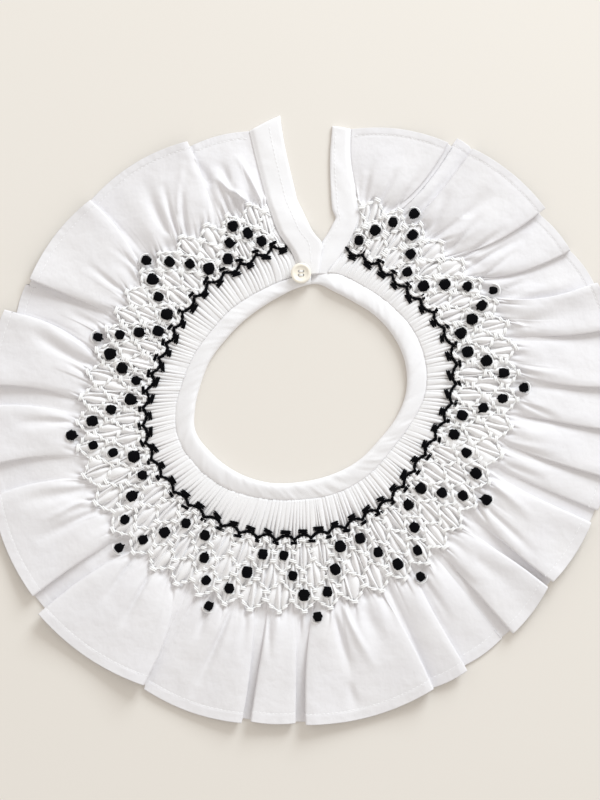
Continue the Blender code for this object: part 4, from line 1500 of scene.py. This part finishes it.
def shell_like():
    """Ivory-coloured, slightly clouded and polished."""
    material, tree, shader, position = new_material("ivory_button")
    cloud = clouded(tree, position, 260.0)
    colour = blended(tree, cloud, (0.86, 0.80, 0.68), (0.92, 0.88, 0.80))
    rough = maths(tree, "MULTIPLY_ADD", cloud, 0.15, 0.22)
    feed(tree, shader, {"Base Color": colour, "Roughness": rough, "Coat Weight": 0.3})
    return material


BUTTON_R, BUTTON_H = 5.0 * MM, 2.4 * MM
BUTTON_HOLE_R, BUTTON_HOLE_OUT = 0.65 * MM, 1.35 * MM
BUTTON_OUTLINE = (
    # distance and height, as shares of the button's own
    (0.0, 0.62),
    (0.42, 0.62),
    (0.62, 0.78),
    (0.74, 0.98),
    (0.86, 1.0),
    (0.97, 0.86),
    (1.0, 0.6),
    (0.94, 0.3),
    (0.7, 0.06),
    (0.5, 0.0),
    (0.0, 0.0),
)


def fine_button():
    """The button, finer than its solid and in the same place."""
    places = np.array(BUTTON_OUTLINE)
    even = np.arange(len(places))
    fine = np.linspace(0, len(places) - 1, 41)
    outline = np.stack([smooth_through(even, places[:, k])(fine) for k in (0, 1)], axis=-1)
    outline = np.clip(outline, 0, 1)
    outline[0, 0] = outline[-1, 0] = 0.0
    mesh = bmesh.new()
    corners = [mesh.verts.new((BUTTON_R * r, 0, BUTTON_H * h)) for r, h in outline]
    edges = [mesh.edges.new(pair) for pair in zip(corners, corners[1:])]
    bmesh.ops.spin(
        mesh, geom=corners + edges, axis=(0, 0, 1), cent=(0, 0, 0), steps=96, angle=2 * math.pi
    )
    bmesh.ops.remove_doubles(mesh, verts=mesh.verts[:], dist=0.005 * MM)
    bmesh.ops.recalc_face_normals(mesh, faces=mesh.faces[:])
    data = bpy.data.meshes.new("turned_button")
    mesh.to_mesh(data)
    mesh.free()
    piece = bpy.data.objects.new("turned_button", data)
    piece.location = (button_x, button_y, button_low.z)
    bpy.context.scene.collection.objects.link(piece)
    return piece


def bored(piece, hole_places):
    """The piece with round holes right through it, as a plain mesh."""
    for x, y in hole_places:
        middle = (piece.location.x + x, piece.location.y + y, piece.location.z + BUTTON_H / 2)
        bpy.ops.mesh.primitive_cylinder_add(
            vertices=24, radius=BUTTON_HOLE_R, depth=BUTTON_H * 3, location=middle
        )
        cutter = bpy.context.object
        piece.modifiers.new("Hole", "BOOLEAN").object = cutter
        cut = piece.evaluated_get(bpy.context.evaluated_depsgraph_get())
        shape = bpy.data.meshes.new_from_object(cut)
        piece.modifiers.clear()
        piece.data = shape
        bpy.data.objects.remove(cutter)
    return piece


hole_turns = [math.radians(45 + 90 * k) for k in range(4)]
hole_places = [
    (BUTTON_HOLE_OUT * math.cos(turn), BUTTON_HOLE_OUT * math.sin(turn)) for turn in hole_turns
]
turned_button = bored(fine_button(), hole_places)
turned_button.data.shade_smooth()
turned_button.data.set_sharp_from_angle(angle=math.radians(40))
turned_button.data.materials.clear()
turned_button.data.materials.append(shell_like())
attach(turned_button, "root")
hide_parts("button")

THREAD_R = 0.2 * MM
share = np.linspace(0, 1, 15)
rise = BUTTON_H * (0.35 + 0.42 * np.sin(math.pi * share) ** 0.35)
thread_paths = []
for first, second in ((0, 1), (2, 3)):
    start, stop = np.array(hole_places[first]), np.array(hole_places[second])
    flat = start + (stop - start) * share[:, None]
    for beside in (-THREAD_R, THREAD_R):
        path = np.column_stack([flat[:, 0], flat[:, 1] + beside, rise])
        thread_paths.append(np.array(turned_button.location) + path)
button_thread = mesh_piece("button_thread", *strands(thread_paths, THREAD_R), WHITE_THREAD)
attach(button_thread, "root")

# %% [markdown]
# ## The cloth's cut
#
# The lengths that the pleats and folds take up when they are drawn out straight, which are the
# flat pieces the cloth was cut as, are printed with each piece above.

# %% [markdown]
# ## Table and light
#
# The collar lies on a plain pale table. The light is a large soft window above the picture's
# top, a little to the right, with a bright room all round, so that the shadows stay soft and
# faint and fall towards the viewer.

# %% Table
TABLE_HALF = 3.0
table_data = bpy.data.meshes.new("table")
table_corners = [(-1, -1), (1, -1), (1, 1), (-1, 1)]
table_data.from_pydata(
    [(TABLE_HALF * x, TABLE_HALF * y, 0) for x, y in table_corners], [], [(0, 1, 2, 3)]
)
table = bpy.data.objects.new("table", table_data)
table.location.z = -0.05 * MM
bpy.context.scene.collection.objects.link(table)
paper, paper_tree, paper_shader, paper_position = new_material("pale_table")
paper_cloud = clouded(paper_tree, paper_position, 4.0)
paper_colour = blended(paper_tree, paper_cloud, (0.765, 0.724, 0.668), (0.784, 0.75, 0.70))
paper_finish = {"Base Color": paper_colour, "Roughness": 0.9, "Specular IOR Level": 0.1}
feed(paper_tree, paper_shader, paper_finish)
table.data.materials.append(paper)

# %% Light


def soft_window(name, place, size, power, colour):
    """A large square light that faces the collar."""
    data = bpy.data.lights.new(name, "AREA")
    data.size, data.energy, data.color = size, power, colour
    lamp = bpy.data.objects.new(name, data)
    lamp.location = place
    x, y, z = place
    lamp.rotation_euler = (math.atan2(math.hypot(x, y), z), 0, math.atan2(x, -y))
    bpy.context.scene.collection.objects.link(lamp)


soft_window("window", (0.98, 1.70, 1.0), 1.0, 40.0, (0.875, 0.945, 1.0))
world = bpy.data.worlds.new("room")
world.use_nodes = True
room_light = {"Color": (1.0, 0.96, 0.915, 1.0), "Strength": 0.77}
feed(world.node_tree, world.node_tree.nodes["Background"], room_light)
bpy.context.scene.world = world
bpy.context.scene.view_settings.view_transform = "Standard"
print("light set")
